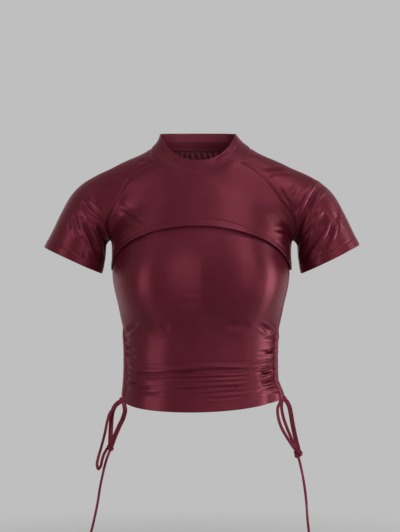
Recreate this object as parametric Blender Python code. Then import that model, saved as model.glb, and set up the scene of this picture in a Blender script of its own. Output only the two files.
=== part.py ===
"""Ruched crop top with a raglan upper layer, in the hollow form that it has when worn.

Units are metres. +Z is up, the front faces -Y, and "right" in a name is the +X side.
The origin lies on the centre line, level with the foot of the neck.
Every cloth piece is a grid of points on one general figure, extruded inward into a wall.
"""

import math
from collections import namedtuple

import bmesh
import bpy
import numpy as np
from mathutils import Vector

# ---------------------------------------------------------------- driving dimensions
CLOTH = 0.0012              # wall of one layer of double-knit satin
SEAM_GAP = 0.0003           # space between two pieces at a seam
LAYER_GAP = 0.0009          # space between the tube body and the upper layer over it
TUCK = 0.0014               # the tube body draws in by this much more under that layer

SEAM_FORWARD = 8.0          # degrees that the side seams lie in front of the widest line
CHANNEL_FORWARD_RIGHT = 16.0    # and the tube body's right one, which is turned further
CHANNEL_FORWARD_LEFT = 8.0
HEM_SIDE = -0.418           # height of the bottom hem at the side seams
HEM_DROP = 0.019            # how much lower the hem is at centre front and centre back
HEM_TILT = 0.0035           # the right end of it is drawn up, and the left end lies lower
HEM_FLARE_RIGHT = 0.0090    # how far the hem's corners stand out at the side seams
HEM_FLARE_LEFT = 0.0012
TUBE_TOP_CENTRE = -0.121    # top edge of the tube body, under the upper layer
TUBE_TOP_SIDE = -0.160

ARCH_SIDE = -0.203          # front hem of the upper layer at the side seams
ARCH_RISE = 0.071           # and how far its arch rises to the centre
ARCH_POWER = 2.1            # how square the arch is
ARCH_FULLNESS = 0.667       # how high its shoulders stand
ARCH_LEAN = 0.045           # its crown lies this share of the half width to the left
ARCH_STAND_OFF = 0.0030     # the arch stands clear of the tube body in its middle
BACK_HEM_RISE = 0.030       # the back hem of the upper layer is a flatter arch

COLLAR_SHIFT = -0.0050      # the collar sits a little to the left
SEAM_LEAN = -0.0065         # and the upper ends of the raglan seams with it
RAGLAN_ANGLE = 40.0         # degrees from the side, round the neck, where those seams start
COLLAR_HALF_WIDTH = 0.0640  # of the collar's top edge
COLLAR_FRONT = 0.0600       # depth from the neck's axis to the top edge in front
COLLAR_BACK = 0.0530        # and behind
NECK_BACK = 0.003           # height of the neck seam behind
NECK_SIDE = 0.003           # at the sides
NECK_FRONT = -0.048         # and in front
COLLAR_TOP_BACK = 0.0315    # height of the top edge behind
COLLAR_TOP_FRONT = -0.0215  # and in front
COLLAR_DIP = 0.0050         # the top edge dips by this much at the sides of the neck
COLLAR_HOLLOW = 0.0020      # the collar's wall is hollowed a little between its edges
COLLAR_SQUARENESS = 2.4     # power of the collar's oval top edge

SQUARENESS = 2.25           # power of the figure's oval sections
ARMPIT_X = 0.1560           # the point of the armpit, where four seams meet
ARMPIT_Y = -0.0040

CORD = 0.0050               # diameter of the drawcords where they leave the hem
DOUBLED = 0.0042            # where one hangs as two thin strands
TAIL = 0.0036               # and of their loose tails
CHANNEL_HALF_WIDTH = 0.0115 # of the strips that hold them, along the side seams
SIDE_RADIUS = 0.089         # of the torso's curve, front to back, at those seams
TUNNEL_RISE = 0.0016        # how far the channels stand up over the cord

# Steps of the grids, the same along a shared seam
RAGLAN_STEPS = 8
SIDE_STEPS = 3
UNDERARM_STEPS = 4
PANEL_COLUMNS = 20
SLEEVE_COLUMNS = 18
CHANNEL_COLUMNS = 4
COLLAR_ROWS = 2
EVEN_ROUNDS = 120           # rounds of evening out that a panel's grid gets

# ---------------------------------------------------------------- tables
Section = namedtuple("Section", "height half_width front back")
TORSO = (
    Section(-0.470, 0.1340, 0.0930, 0.0920),
    Section(-0.437, 0.1320, 0.0900, 0.0880),
    Section(-0.405, 0.1305, 0.0885, 0.0830),
    Section(-0.357, 0.1290, 0.0900, 0.0780),
    Section(-0.323, 0.1300, 0.0940, 0.0800),
    Section(-0.303, 0.1325, 0.0985, 0.0825),
    Section(-0.282, 0.1370, 0.1050, 0.0855),
    Section(-0.262, 0.1410, 0.1110, 0.0890),
    Section(-0.241, 0.1460, 0.1160, 0.0925),
    Section(-0.221, 0.1495, 0.1180, 0.0960),
    Section(-0.200, 0.1505, 0.1170, 0.0990),
    Section(-0.180, 0.1500, 0.1140, 0.1005),
    Section(-0.150, 0.1505, 0.1075, 0.1010),
    Section(-0.120, 0.1470, 0.0980, 0.0985),
    Section(-0.090, 0.1370, 0.0870, 0.0925),
    Section(-0.060, 0.1180, 0.0760, 0.0820),
    Section(-0.030, 0.0950, 0.0670, 0.0680),
    Section(-0.010, 0.0780, 0.0620, 0.0590),
    Section(0.010, 0.0660, 0.0590, 0.0540),
    Section(0.040, 0.0590, 0.0560, 0.0500),
)

# A soft fullness on each side of the bust, as the cut of the panels gives it
BUST = dict(x=0.066, y=-0.064, z=-0.222, width=0.062, depth=0.060, height=0.066, blend=0.030)

# The shoulder and the sleeve on the +X side: points of the cloth's outer edge seen from the
# front, the slope of that edge below the horizontal, and the section's reach to each side
ArmSection = namedtuple("ArmSection", "x z slope up down depth")
ARM = (
    ArmSection(0.0780, 0.0010, 24.0, 0.042, 0.042, 0.053),
    ArmSection(0.1265, -0.0185, 26.0, 0.046, 0.046, 0.055),
    ArmSection(0.1550, -0.0325, 26.5, 0.048, 0.048, 0.056),
    ArmSection(0.1825, -0.0450, 29.0, 0.049, 0.046, 0.056),
    ArmSection(0.2050, -0.0590, 38.0, 0.050, 0.044, 0.056),
    ArmSection(0.2235, -0.0780, 51.0, 0.050, 0.044, 0.055),
    ArmSection(0.2390, -0.1050, 61.0, 0.048, 0.042, 0.053),
    ArmSection(0.2525, -0.1330, 63.0, 0.050, 0.041, 0.053),
    ArmSection(0.2660, -0.1600, 63.0, 0.053, 0.050, 0.054),
    ArmSection(0.2860, -0.2008, 63.0, 0.056, 0.056, 0.056),
)
ARMPIT_STATION = 6.1        # rows of the table that lie level with the armpit
CUFF_STATION = 8.0          # and with the sleeve's hem
LEFT_CUFF_DROP = 0.0050     # the left sleeve's hem reaches this much further at its outer edge
SHOULDER_SHIFT = 0.0027     # both sleeves hang this much further to the right
SHOULDER_BLEND = 0.030      # how softly the arm runs into the torso at the shoulder
ARMPIT_BLEND = 0.018        # and in the armpit

# Raglan seams below the collar, as seen from the front and from behind (+X side)
SeamPoint = namedtuple("SeamPoint", "x z")
RAGLAN_FRONT = (
    SeamPoint(0.0935, -0.0353), SeamPoint(0.1090, -0.0488), SeamPoint(0.1225, -0.0660),
    SeamPoint(0.1325, -0.0830), SeamPoint(0.1455, -0.1031), SeamPoint(0.1530, -0.1165),
    SeamPoint(0.1575, -0.1291),
)
RAGLAN_BACK = (
    SeamPoint(0.0800, -0.0230), SeamPoint(0.1010, -0.0440), SeamPoint(0.1190, -0.0680),
    SeamPoint(0.1340, -0.0900), SeamPoint(0.1450, -0.1080), SeamPoint(0.1530, -0.1250),
    SeamPoint(0.1575, -0.1380),
)

# Levels of the tube body's rows, as heights at the side seams, above the gathers
BODY_LEVELS = (-0.160, -0.188, -0.212, -0.236, -0.258, -0.276, -0.292)
GATHER_TOP = -0.302
GATHER_FOOT = -0.404
GATHER_ROWS = 16

# Creases, each a straight soft furrow between two ends seen from the front or from behind
Crease = namedtuple("Crease", "x1 z1 x2 z2 depth half_width")
BODY_FRONT_CREASES = (
    Crease(-0.045, -0.279, 0.050, -0.279, 0.0018, 0.006),    # under the bust
    Crease(0.028, -0.291, 0.082, -0.290, 0.0014, 0.005),
    Crease(0.098, -0.286, 0.140, -0.312, 0.0024, 0.006),     # where the gathers start
    Crease(-0.098, -0.289, -0.140, -0.312, 0.0024, 0.006),
    Crease(-0.125, -0.354, 0.125, -0.349, 0.0014, 0.005),
    Crease(-0.080, -0.372, 0.120, -0.365, 0.0024, 0.005),
    Crease(-0.130, -0.382, 0.040, -0.380, 0.0022, 0.005),
    Crease(0.040, -0.379, 0.128, -0.376, 0.0022, 0.005),
    Crease(-0.128, -0.395, -0.060, -0.396, 0.0022, 0.005),
    Crease(-0.030, -0.399, 0.120, -0.391, 0.0022, 0.005),
)
BODY_BACK_CREASES = (
    Crease(-0.060, -0.300, 0.055, -0.297, 0.0014, 0.006),
    Crease(-0.098, -0.296, -0.140, -0.314, 0.0022, 0.006),
    Crease(0.098, -0.292, 0.140, -0.312, 0.0022, 0.006),
    Crease(-0.120, -0.336, 0.030, -0.339, 0.0014, 0.005),
    Crease(-0.010, -0.352, 0.125, -0.347, 0.0018, 0.005),
    Crease(-0.128, -0.366, 0.110, -0.369, 0.0022, 0.005),
    Crease(-0.090, -0.381, 0.128, -0.380, 0.0022, 0.005),
    Crease(-0.128, -0.396, 0.050, -0.397, 0.0020, 0.005),
)
YOKE_FRONT_CREASES = (
    Crease(-0.140, -0.104, -0.098, -0.126, 0.0020, 0.008),   # drag lines from the armpits
    Crease(0.126, -0.142, 0.156, -0.152, 0.0020, 0.007),
)
YOKE_BACK_CREASES = (
    Crease(-0.150, -0.140, -0.070, -0.118, -0.0020, 0.009),  # ridges, where the tube lies below
    Crease(0.150, -0.142, 0.076, -0.124, -0.0018, 0.009),
)
SLEEVE_RIGHT_CREASES = (
    Crease(0.200, -0.066, 0.166, -0.135, 0.0035, 0.009),     # shoulder tip to armpit
    Crease(0.208, -0.112, 0.184, -0.176, 0.0026, 0.008),
    Crease(0.222, -0.116, 0.213, -0.160, 0.0016, 0.007),
)
SLEEVE_LEFT_CREASES = (
    Crease(-0.192, -0.086, -0.163, -0.116, 0.0018, 0.009),
    Crease(-0.174, -0.130, -0.164, -0.156, 0.0030, 0.008),
    Crease(-0.200, -0.130, -0.181, -0.168, 0.0026, 0.008),
)
GATHER_DEPTH = 0.0013       # of the small gathers along the side seams
GATHER_STEP = 0.0102        # from one to the next
GATHER_REACH = 20.0         # degrees that they run round each panel

# Satin jersey colours: the outer layer, and the cords a shade lighter
WINE = (0.105, 0.013, 0.024, 1.0)
WINE_CORD = (0.130, 0.017, 0.031, 1.0)
ROUGHNESS = 0.42

# The drawcords, from the mouths of the channels. Points of each route, in metres
ROUTES = {
    "cord_right_outer": (
        (0.1402, -0.0220, -0.4196), (0.1412, -0.0222, -0.4218), (0.1448, -0.0225, -0.4262),
        (0.1484, -0.0228, -0.4332), (0.1510, -0.0230, -0.4440), (0.1535, -0.0230, -0.4590),
        (0.1568, -0.0230, -0.4760), (0.1604, -0.0232, -0.4920), (0.1636, -0.0236, -0.5043),
    ),
    "cord_right_inner": (
        (0.1332, -0.0376, -0.4226), (0.1320, -0.0380, -0.4262), (0.1286, -0.0384, -0.4350),
        (0.1290, -0.0380, -0.4480), (0.1345, -0.0368, -0.4670), (0.1432, -0.0350, -0.4830),
        (0.1522, -0.0325, -0.4970), (0.1592, -0.0298, -0.5067),
    ),
    "cord_right_loop": (
        (0.1362, -0.0332, -0.4214), (0.1358, -0.0334, -0.4246), (0.1352, -0.0334, -0.4340),
        (0.1380, -0.0325, -0.4500), (0.1440, -0.0305, -0.4680), (0.1510, -0.0275, -0.4850),
        (0.1558, -0.0254, -0.4970), (0.1590, -0.0245, -0.5055),
    ),
    "cord_right_tail": (
        (0.1644, -0.0257, -0.5207), (0.1666, -0.0255, -0.5290), (0.1702, -0.0250, -0.5450),
        (0.1744, -0.0240, -0.5690), (0.1774, -0.0230, -0.5945), (0.1792, -0.0222, -0.6200),
        (0.1822, -0.0215, -0.6490), (0.1844, -0.0208, -0.6750), (0.1854, -0.0205, -0.7000),
    ),
    "cord_left_outer": (
        (-0.1350, -0.0070, -0.4240), (-0.1358, -0.0072, -0.4260), (-0.1402, -0.0080, -0.4292),
        (-0.1454, -0.0090, -0.4342), (-0.1494, -0.0105, -0.4425), (-0.1513, -0.0125, -0.4540),
        (-0.1522, -0.0150, -0.4700), (-0.1528, -0.0180, -0.4850), (-0.1530, -0.0200, -0.4958),
    ),
    "cord_left_inner": (
        (-0.1304, -0.0228, -0.4279), (-0.1290, -0.0236, -0.4330), (-0.1280, -0.0242, -0.4400),
        (-0.1308, -0.0250, -0.4520), (-0.1386, -0.0262, -0.4690), (-0.1450, -0.0268, -0.4840),
        (-0.1497, -0.0255, -0.4968),
    ),
    "cord_left_loop": (
        (-0.1354, -0.0150, -0.4246), (-0.1402, -0.0160, -0.4300), (-0.1474, -0.0170, -0.4370),
        (-0.1540, -0.0180, -0.4460), (-0.1578, -0.0190, -0.4580), (-0.1618, -0.0205, -0.4780),
        (-0.1688, -0.0217, -0.5050), (-0.1736, -0.0225, -0.5220), (-0.1751, -0.0235, -0.5330),
        (-0.1728, -0.0245, -0.5392), (-0.1694, -0.0250, -0.5350), (-0.1668, -0.0252, -0.5250),
        (-0.1638, -0.0250, -0.5150), (-0.1591, -0.0242, -0.5062),
    ),
    "cord_left_tail": (
        (-0.1541, -0.0218, -0.5096), (-0.1576, -0.0205, -0.5185), (-0.1621, -0.0195, -0.5330),
        (-0.1661, -0.0190, -0.5500), (-0.1706, -0.0190, -0.5720), (-0.1741, -0.0190, -0.5950),
        (-0.1781, -0.0190, -0.6150), (-0.1824, -0.0190, -0.6340), (-0.1858, -0.0190, -0.6480),
        (-0.1896, -0.0190, -0.6700), (-0.1912, -0.0190, -0.6950),
    ),
}
THICKNESS = {
    "cord_right_outer": CORD, "cord_left_outer": CORD, "cord_left_inner": CORD,
    "cord_right_inner": DOUBLED, "cord_right_loop": DOUBLED,
    "cord_left_loop": TAIL, "cord_left_tail": TAIL, "cord_right_tail": TAIL,
}
Knot = namedtuple("Knot", "centre width depth height tilt")
KNOTS = {
    "knot_right": Knot((0.1632, -0.0265, -0.5128), 0.0148, 0.0130, 0.0165, 20.0),
    "knot_left": Knot((-0.1528, -0.0225, -0.5028), 0.0120, 0.0120, 0.0140, -25.0),
}


# ---------------------------------------------------------------- small tools
def smooth_column(table, key, where, column):
    """Read one column of a table as a smooth curve through its rows."""
    at = np.array([getattr(row, key) for row in table]) if isinstance(key, str) else key
    value = np.array([getattr(row, column) for row in table])
    slope = np.gradient(value, at)
    where = np.clip(where, at[0], at[-1])
    cell = np.clip(np.searchsorted(at, where, side="right") - 1, 0, len(at) - 2)
    width = at[cell + 1] - at[cell]
    t = (where - at[cell]) / width
    return ((1 + 2 * t) * (1 - t) ** 2 * value[cell] + t * (1 - t) ** 2 * width * slope[cell]
            + t * t * (3 - 2 * t) * value[cell + 1] - t * t * (1 - t) * width * slope[cell + 1])


def smoothstep(low, high, value):
    t = np.clip((value - low) / (high - low), 0.0, 1.0)
    return t * t * (3 - 2 * t)


def soft_min(a, b, blend):
    h = np.clip(0.5 + 0.5 * (b - a) / blend, 0.0, 1.0)
    return b + (a - b) * h - blend * h * (1 - h)


def unit(vectors):
    return vectors / np.linalg.norm(vectors, axis=-1, keepdims=True)


def curve_through(points, count):
    """Even points along a smooth curve through the given ones."""
    points = np.asarray(points, float)
    length = np.concatenate(([0.0], np.cumsum(np.linalg.norm(np.diff(points, axis=0), axis=1))))
    slope = np.gradient(points, length, axis=0)
    where = np.linspace(0.0, length[-1], count)
    cell = np.clip(np.searchsorted(length, where, side="right") - 1, 0, len(length) - 2)
    width = (length[cell + 1] - length[cell])[:, None]
    t = ((where - length[cell]) / width[:, 0])[:, None]
    return ((1 + 2 * t) * (1 - t) ** 2 * points[cell] + t * (1 - t) ** 2 * width * slope[cell]
            + t * t * (3 - 2 * t) * points[cell + 1] - t * t * (1 - t) * width * slope[cell + 1])


# ---------------------------------------------------------------- the figure
def torso_field(p):
    """Distance outside (+) or inside (-) the oval sections of the torso and the bust."""
    x, y, z = p[..., 0], p[..., 1], p[..., 2]
    half_width = smooth_column(TORSO, "height", z, "half_width")
    front = smooth_column(TORSO, "height", z, "front")
    back = smooth_column(TORSO, "height", z, "back")
    depth = np.where(y < 0, front, back)
    oval = (np.abs(x / half_width) ** SQUARENESS + np.abs(y / depth) ** SQUARENESS)
    oval = np.maximum(oval, 1e-9) ** (1 / SQUARENESS)
    torso = np.hypot(x, y) * (1 - 1 / oval)
    bust = np.sqrt(((np.abs(x) - BUST["x"]) / BUST["width"]) ** 2
                   + ((y - BUST["y"]) / BUST["depth"]) ** 2
                   + ((z - BUST["z"]) / BUST["height"]) ** 2)
    return soft_min(torso, (bust - 1) * BUST["depth"], BUST["blend"])


def arm_stations(count):
    """Centres, directions and reaches along the shoulder and the sleeve."""
    rows = np.arange(len(ARM), dtype=float)
    where = np.linspace(0.0, len(ARM) - 1.0, count)
    edge_x, edge_z, slope, up, down, depth = (
        smooth_column(ARM, rows, where, column) for column in ArmSection._fields)
    slope = np.radians(slope)
    along = np.stack((np.cos(slope), np.zeros(count), -np.sin(slope)), axis=1)
    outward = np.stack((np.sin(slope), np.zeros(count), np.cos(slope)), axis=1)
    edge = np.stack((edge_x, np.zeros(count), edge_z), axis=1)
    centre = edge - outward * (up + LAYER_GAP + CLOTH)[:, None]
    return centre, along, outward, up, down, depth


ARM_CHAIN = arm_stations(64)


def arm_field(p):
    """Distance outside (+) or inside (-) the shoulder and sleeve, on both sides."""
    centre, along, outward, up, down, depth = ARM_CHAIN
    q = np.concatenate((np.abs(p[..., :1]), p[..., 1:]), axis=-1)
    nearest = np.full(q.shape[:-1], 9.0)
    for i in range(len(centre)):
        w = q - centre[i]
        out = w @ outward[i]
        reach = np.where(out > 0, up[i], down[i])
        ball = np.sqrt((w @ along[i] / up[i]) ** 2 + (out / reach) ** 2
                       + (w[..., 1] / depth[i]) ** 2)
        nearest = np.minimum(nearest, (ball - 1) * up[i])
    return nearest


def figure_field(p):
    """The whole figure: torso and arms, blended."""
    blend = ARMPIT_BLEND + (SHOULDER_BLEND - ARMPIT_BLEND) * smoothstep(-0.15, -0.08, p[..., 2])
    return soft_min(torso_field(p), arm_field(p), blend)


def normals(field, p):
    step = 0.0015
    parts = [field(p + step * axis) - field(p - step * axis) for axis in np.eye(3)]
    return unit(np.stack(parts, axis=-1))


def settle(field, p, steps=8):
    """Move points straight onto the figure's surface."""
    step = 0.0010
    for _ in range(steps):
        value = field(p)
        slope = np.stack([field(p + step * axis) - field(p - step * axis)
                          for axis in np.eye(3)], axis=-1) / (2 * step)
        p = p - slope * (value / np.maximum((slope ** 2).sum(-1), 1e-6))[..., None]
    return p


def first_hit(field, start, direction, reach):
    """Where rays that start inside the figure first come out of it."""
    low = np.zeros(start.shape[:-1])
    high = np.full(start.shape[:-1], reach)
    out = np.zeros(start.shape[:-1], bool)
    for distance in np.linspace(0.0, reach, 60):
        outside = field(start + direction * distance) > 0
        high = np.where(outside & ~out, distance, high)
        out |= outside
        low = np.where(out, low, distance)
    for _ in range(24):
        middle = (low + high) / 2
        outside = field(start + direction * middle[..., None]) > 0
        high = np.where(outside, middle, high)
        low = np.where(outside, low, middle)
    return start + direction * ((low + high) / 2)[..., None]


def torso_point(degrees, height, field=torso_field):
    """The point at an angle round the torso: 0 is +X, 90 the front, 180 is -X, 270 the back."""
    angle, height = np.broadcast_arrays(np.radians(degrees), height)
    half_width = smooth_column(TORSO, "height", height, "half_width")
    front = smooth_column(TORSO, "height", height, "front")
    back = smooth_column(TORSO, "height", height, "back")
    depth = np.where(np.sin(angle) > 0, front, back)
    aim = unit(np.stack((half_width * np.cos(angle), -depth * np.sin(angle),
                         np.zeros(angle.shape)), axis=-1))
    start = np.stack((np.zeros(angle.shape), np.zeros(angle.shape), height), axis=-1)
    return first_hit(field, start, aim, 0.19)


# ---------------------------------------------------------------- the seams
# Side-by-side pieces read the same points here. "side" is +1 or -1; points of the -X side
# are worked out on the +X side and mirrored.
def mirrored(points, side):
    return points * np.array((float(side), 1.0, 1.0))


def neck_height(degrees):
    """Height of the neck seam: level behind, with a round drop in front."""
    forward = np.sin(np.radians(degrees))
    drop = np.clip(forward, 0.0, 1.0) ** 1.5
    return np.where(forward > 0, NECK_SIDE + (NECK_FRONT - NECK_SIDE) * drop,
                    NECK_SIDE + (NECK_BACK - NECK_SIDE) * -forward)


def neck_point(degrees):
    """Points of the neck seam, at angles round the neck's axis (90 is the front)."""
    degrees = np.asarray(degrees, float)
    aim = np.stack((np.cos(np.radians(degrees)), -np.sin(np.radians(degrees)),
                    np.zeros(degrees.shape)), axis=-1)
    start = np.stack((np.full(degrees.shape, COLLAR_SHIFT), np.zeros(degrees.shape),
                      neck_height(degrees)), axis=-1)
    return first_hit(figure_field, start, aim, 0.15)


def neck_span(first, last, steps):
    return neck_point(np.linspace(first, last, steps + 1))


def armpit():
    """The point of the armpit, straight below the shoulder."""
    start = np.array(((ARMPIT_X, ARMPIT_Y, -0.10),))
    return first_hit(figure_field, start, np.array(((0.0, 0.0, -1.0),)), 0.12)[0]


ARMPIT_POINT = armpit()


def raglan_seam(side, face):
    """A raglan seam from the neck to the armpit; face is +1 in front and -1 behind."""
    start = RAGLAN_ANGLE * face if side > 0 else 180.0 - RAGLAN_ANGLE * face
    neck = mirrored(neck_point([start]), side)
    table = RAGLAN_FRONT if face > 0 else RAGLAN_BACK
    x = np.array([point.x for point in table])
    z = np.array([point.z for point in table])
    x = x + side * SEAM_LEAN * smoothstep(-0.13, -0.05, z)
    flat = np.stack((x, np.zeros(len(x)), z), axis=-1)
    aim = np.broadcast_to((0.0, -float(face), 0.0), flat.shape)
    whole = np.concatenate((neck, first_hit(figure_field, flat, aim, 0.16), [ARMPIT_POINT]))
    seam = settle(figure_field, curve_through(whole, RAGLAN_STEPS + 1))
    seam[0] = neck[0]
    seam[-1] = ARMPIT_POINT
    return mirrored(seam, side)


def side_seam(side, foot):
    """The upper layer's side seam, from the armpit down to a height."""
    fraction = np.linspace(0.0, 1.0, SIDE_STEPS + 1)
    height = ARMPIT_POINT[2] + (foot - ARMPIT_POINT[2]) * fraction
    angle = SEAM_FORWARD * smoothstep(0.0, 0.8, fraction)
    seam = torso_point(angle, height)
    seam = seam + (ARMPIT_POINT - seam[0]) * ((1 - fraction) ** 2)[:, None]
    seam = settle(figure_field, seam)
    seam[0] = ARMPIT_POINT
    return mirrored(seam, side)


def hem_curve(first, last, rise, power, fullness, lean):
    """The upper layer's hem between two angles, as an arch over the torso."""
    angle = np.linspace(first, last, PANEL_COLUMNS + 1)
    across = np.cos(np.radians(angle))
    edge = math.cos(math.radians(SEAM_FORWARD))
    across = np.clip(np.abs(across + lean * np.sin(np.radians(angle))) / edge, 0.0, 1.0)
    height = ARCH_SIDE + rise * (1 - across ** power) ** fullness
    return settle(figure_field, torso_point(angle, height))


# ---------------------------------------------------------------- walls
def seam_fade(shape):
    """0 on the seams at a panel's sides and top, rising to 1 two steps inside them."""
    over = np.arange(shape[1])
    over = np.minimum(over, shape[1] - 1 - over) / 2.0
    down = np.arange(shape[0]) / 2.0
    return np.clip(np.minimum(over[None, :], down[:, None]), 0.0, 1.0)


def creased(points, normal, table):
    """Move points in along their normals by the soft furrows of a table."""
    depth = np.zeros(points.shape[:-1])
    flat = points[..., (0, 2)]
    for crease in table:
        start = np.array((crease.x1, crease.z1))
        run = np.array((crease.x2, crease.z2)) - start
        length = np.linalg.norm(run)
        along = (flat - start) @ run / length ** 2
        away = np.abs((flat - start) @ np.array((-run[1], run[0])) / length)
        ends = smoothstep(-0.12, 0.25, along) * smoothstep(-0.12, 0.25, 1 - along)
        depth += crease.depth * ends * np.exp(-(away / crease.half_width) ** 2)
    return points - normal * (depth * seam_fade(depth.shape))[..., None]


def pull_in(grid):
    """Draw the edges of a grid in by half of a seam's gap, square to each edge."""
    grid = grid.copy()
    for edge, inner in ((0, 1), (-1, -2)):
        for line, beside in ((grid[edge], grid[inner]), (grid[:, edge], grid[:, inner])):
            seam = unit(np.gradient(line, axis=0))
            away = beside - line
            away = away - seam * (away * seam).sum(-1, keepdims=True)
            line += unit(away) * SEAM_GAP / 2
    return grid


def swayed(points):
    """Shift the shoulders and the sleeves a little to the right."""
    shift = SHOULDER_SHIFT * smoothstep(0.10, 0.23, np.abs(points[..., 0]))
    shift = shift * smoothstep(-0.27, -0.17, points[..., 2])
    return points + shift[..., None] * np.array((1.0, 0.0, 0.0))


def cloth(name, outer, normal, material, closed=False):
    """A wall of cloth: a grid of faces, extruded inward by the cloth's thickness."""
    rows, columns = outer.shape[:2]
    outer = swayed(outer)
    bm = bmesh.new()
    index = bm.verts.layers.int.new("point")
    verts = []
    for i, point in enumerate(outer.reshape(-1, 3)):
        vert = bm.verts.new(point)
        vert[index] = i
        verts.append(vert)
    for row in range(rows - 1):
        for column in range(columns if closed else columns - 1):
            after = (column + 1) % columns
            corners = ((row, column), (row + 1, column), (row + 1, after), (row, after))
            bm.faces.new([verts[r * columns + c] for r, c in corners])
    bmesh.ops.triangulate(bm, faces=bm.faces[:], quad_method="SHORT_EDGE")
    inward = bmesh.ops.extrude_face_region(bm, geom=bm.faces[:])
    flat_normal = normal.reshape(-1, 3)
    for item in inward["geom"]:
        if isinstance(item, bmesh.types.BMVert):
            item.co -= Vector(flat_normal[item[index]]) * CLOTH
    bmesh.ops.recalc_face_normals(bm, faces=bm.faces[:])
    mesh = bpy.data.meshes.new(name)
    bm.to_mesh(mesh)
    bm.free()
    mesh.shade_smooth()
    mesh.set_sharp_from_angle(angle=math.radians(50))
    mesh.materials.append(material)
    piece = bpy.data.objects.new(name, mesh)
    bpy.context.collection.objects.link(piece)
    return piece


def upper_layer(grid, stand_off=0.0):
    """Outer points and normals of a piece of the upper layer, from points on the figure."""
    normal = normals(figure_field, grid)
    lift = LAYER_GAP + CLOTH + stand_off
    return grid + normal * np.broadcast_to(lift, grid.shape[:-1])[..., None], normal


# ---------------------------------------------------------------- yokes, sleeves, collar
def patch(top, bottom, left, right):
    """Fill four meeting edges with an even grid that lies on the figure."""
    down = np.linspace(0.0, 1.0, len(left))[:, None, None]
    over = np.linspace(0.0, 1.0, len(top))[None, :, None]
    corners = ((1 - down) * ((1 - over) * top[0] + over * top[-1])
               + down * ((1 - over) * bottom[0] + over * bottom[-1]))
    grid = ((1 - down) * top[None] + down * bottom[None]
            + (1 - over) * left[:, None] + over * right[:, None] - corners)
    for _ in range(EVEN_ROUNDS):
        middle = (grid[:-2, 1:-1] + grid[2:, 1:-1] + grid[1:-1, :-2] + grid[1:-1, 2:]) / 4
        grid[1:-1, 1:-1] = settle(figure_field, middle, 1)
    grid[1:-1, 1:-1] = settle(figure_field, grid[1:-1, 1:-1])
    return grid


def yoke(name, face, material, creases):
    """The front (+1) or back (-1) panel between the raglan seams, with its arched hem."""
    if face > 0:
        top = neck_span(180.0 - RAGLAN_ANGLE, RAGLAN_ANGLE, PANEL_COLUMNS)
        hem = hem_curve(180.0 - SEAM_FORWARD, SEAM_FORWARD, ARCH_RISE, ARCH_POWER,
                        ARCH_FULLNESS, ARCH_LEAN)
        sides = (-1, 1)
    else:
        top = neck_span(360.0 - RAGLAN_ANGLE, 180.0 + RAGLAN_ANGLE, PANEL_COLUMNS)
        hem = hem_curve(360.0 + SEAM_FORWARD, 180.0 - SEAM_FORWARD, BACK_HEM_RISE, ARCH_POWER,
                        ARCH_FULLNESS, 0.0)
        sides = (1, -1)
    edges = [np.concatenate((raglan_seam(side, face), side_seam(side, ARCH_SIDE)[1:]))
             for side in sides]
    hem[0], hem[-1] = edges[0][-1], edges[1][-1]
    grid = pull_in(patch(top, hem, *edges))
    down = np.linspace(0.0, 1.0, len(grid))[:, None]
    over = np.linspace(0.0, 1.0, PANEL_COLUMNS + 1)[None, :]
    stand_off = ARCH_STAND_OFF * down ** 4 * np.sin(math.pi * over)
    outer, normal = upper_layer(grid, stand_off)
    for column in (0, -1):      # at the armpits the wall turns in towards the torso
        normal[RAGLAN_STEPS, column, 0] += np.sign(grid[RAGLAN_STEPS, column, 0])
    normal = unit(normal)
    return cloth(name, creased(outer, normal, creases), normal, material)


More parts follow.
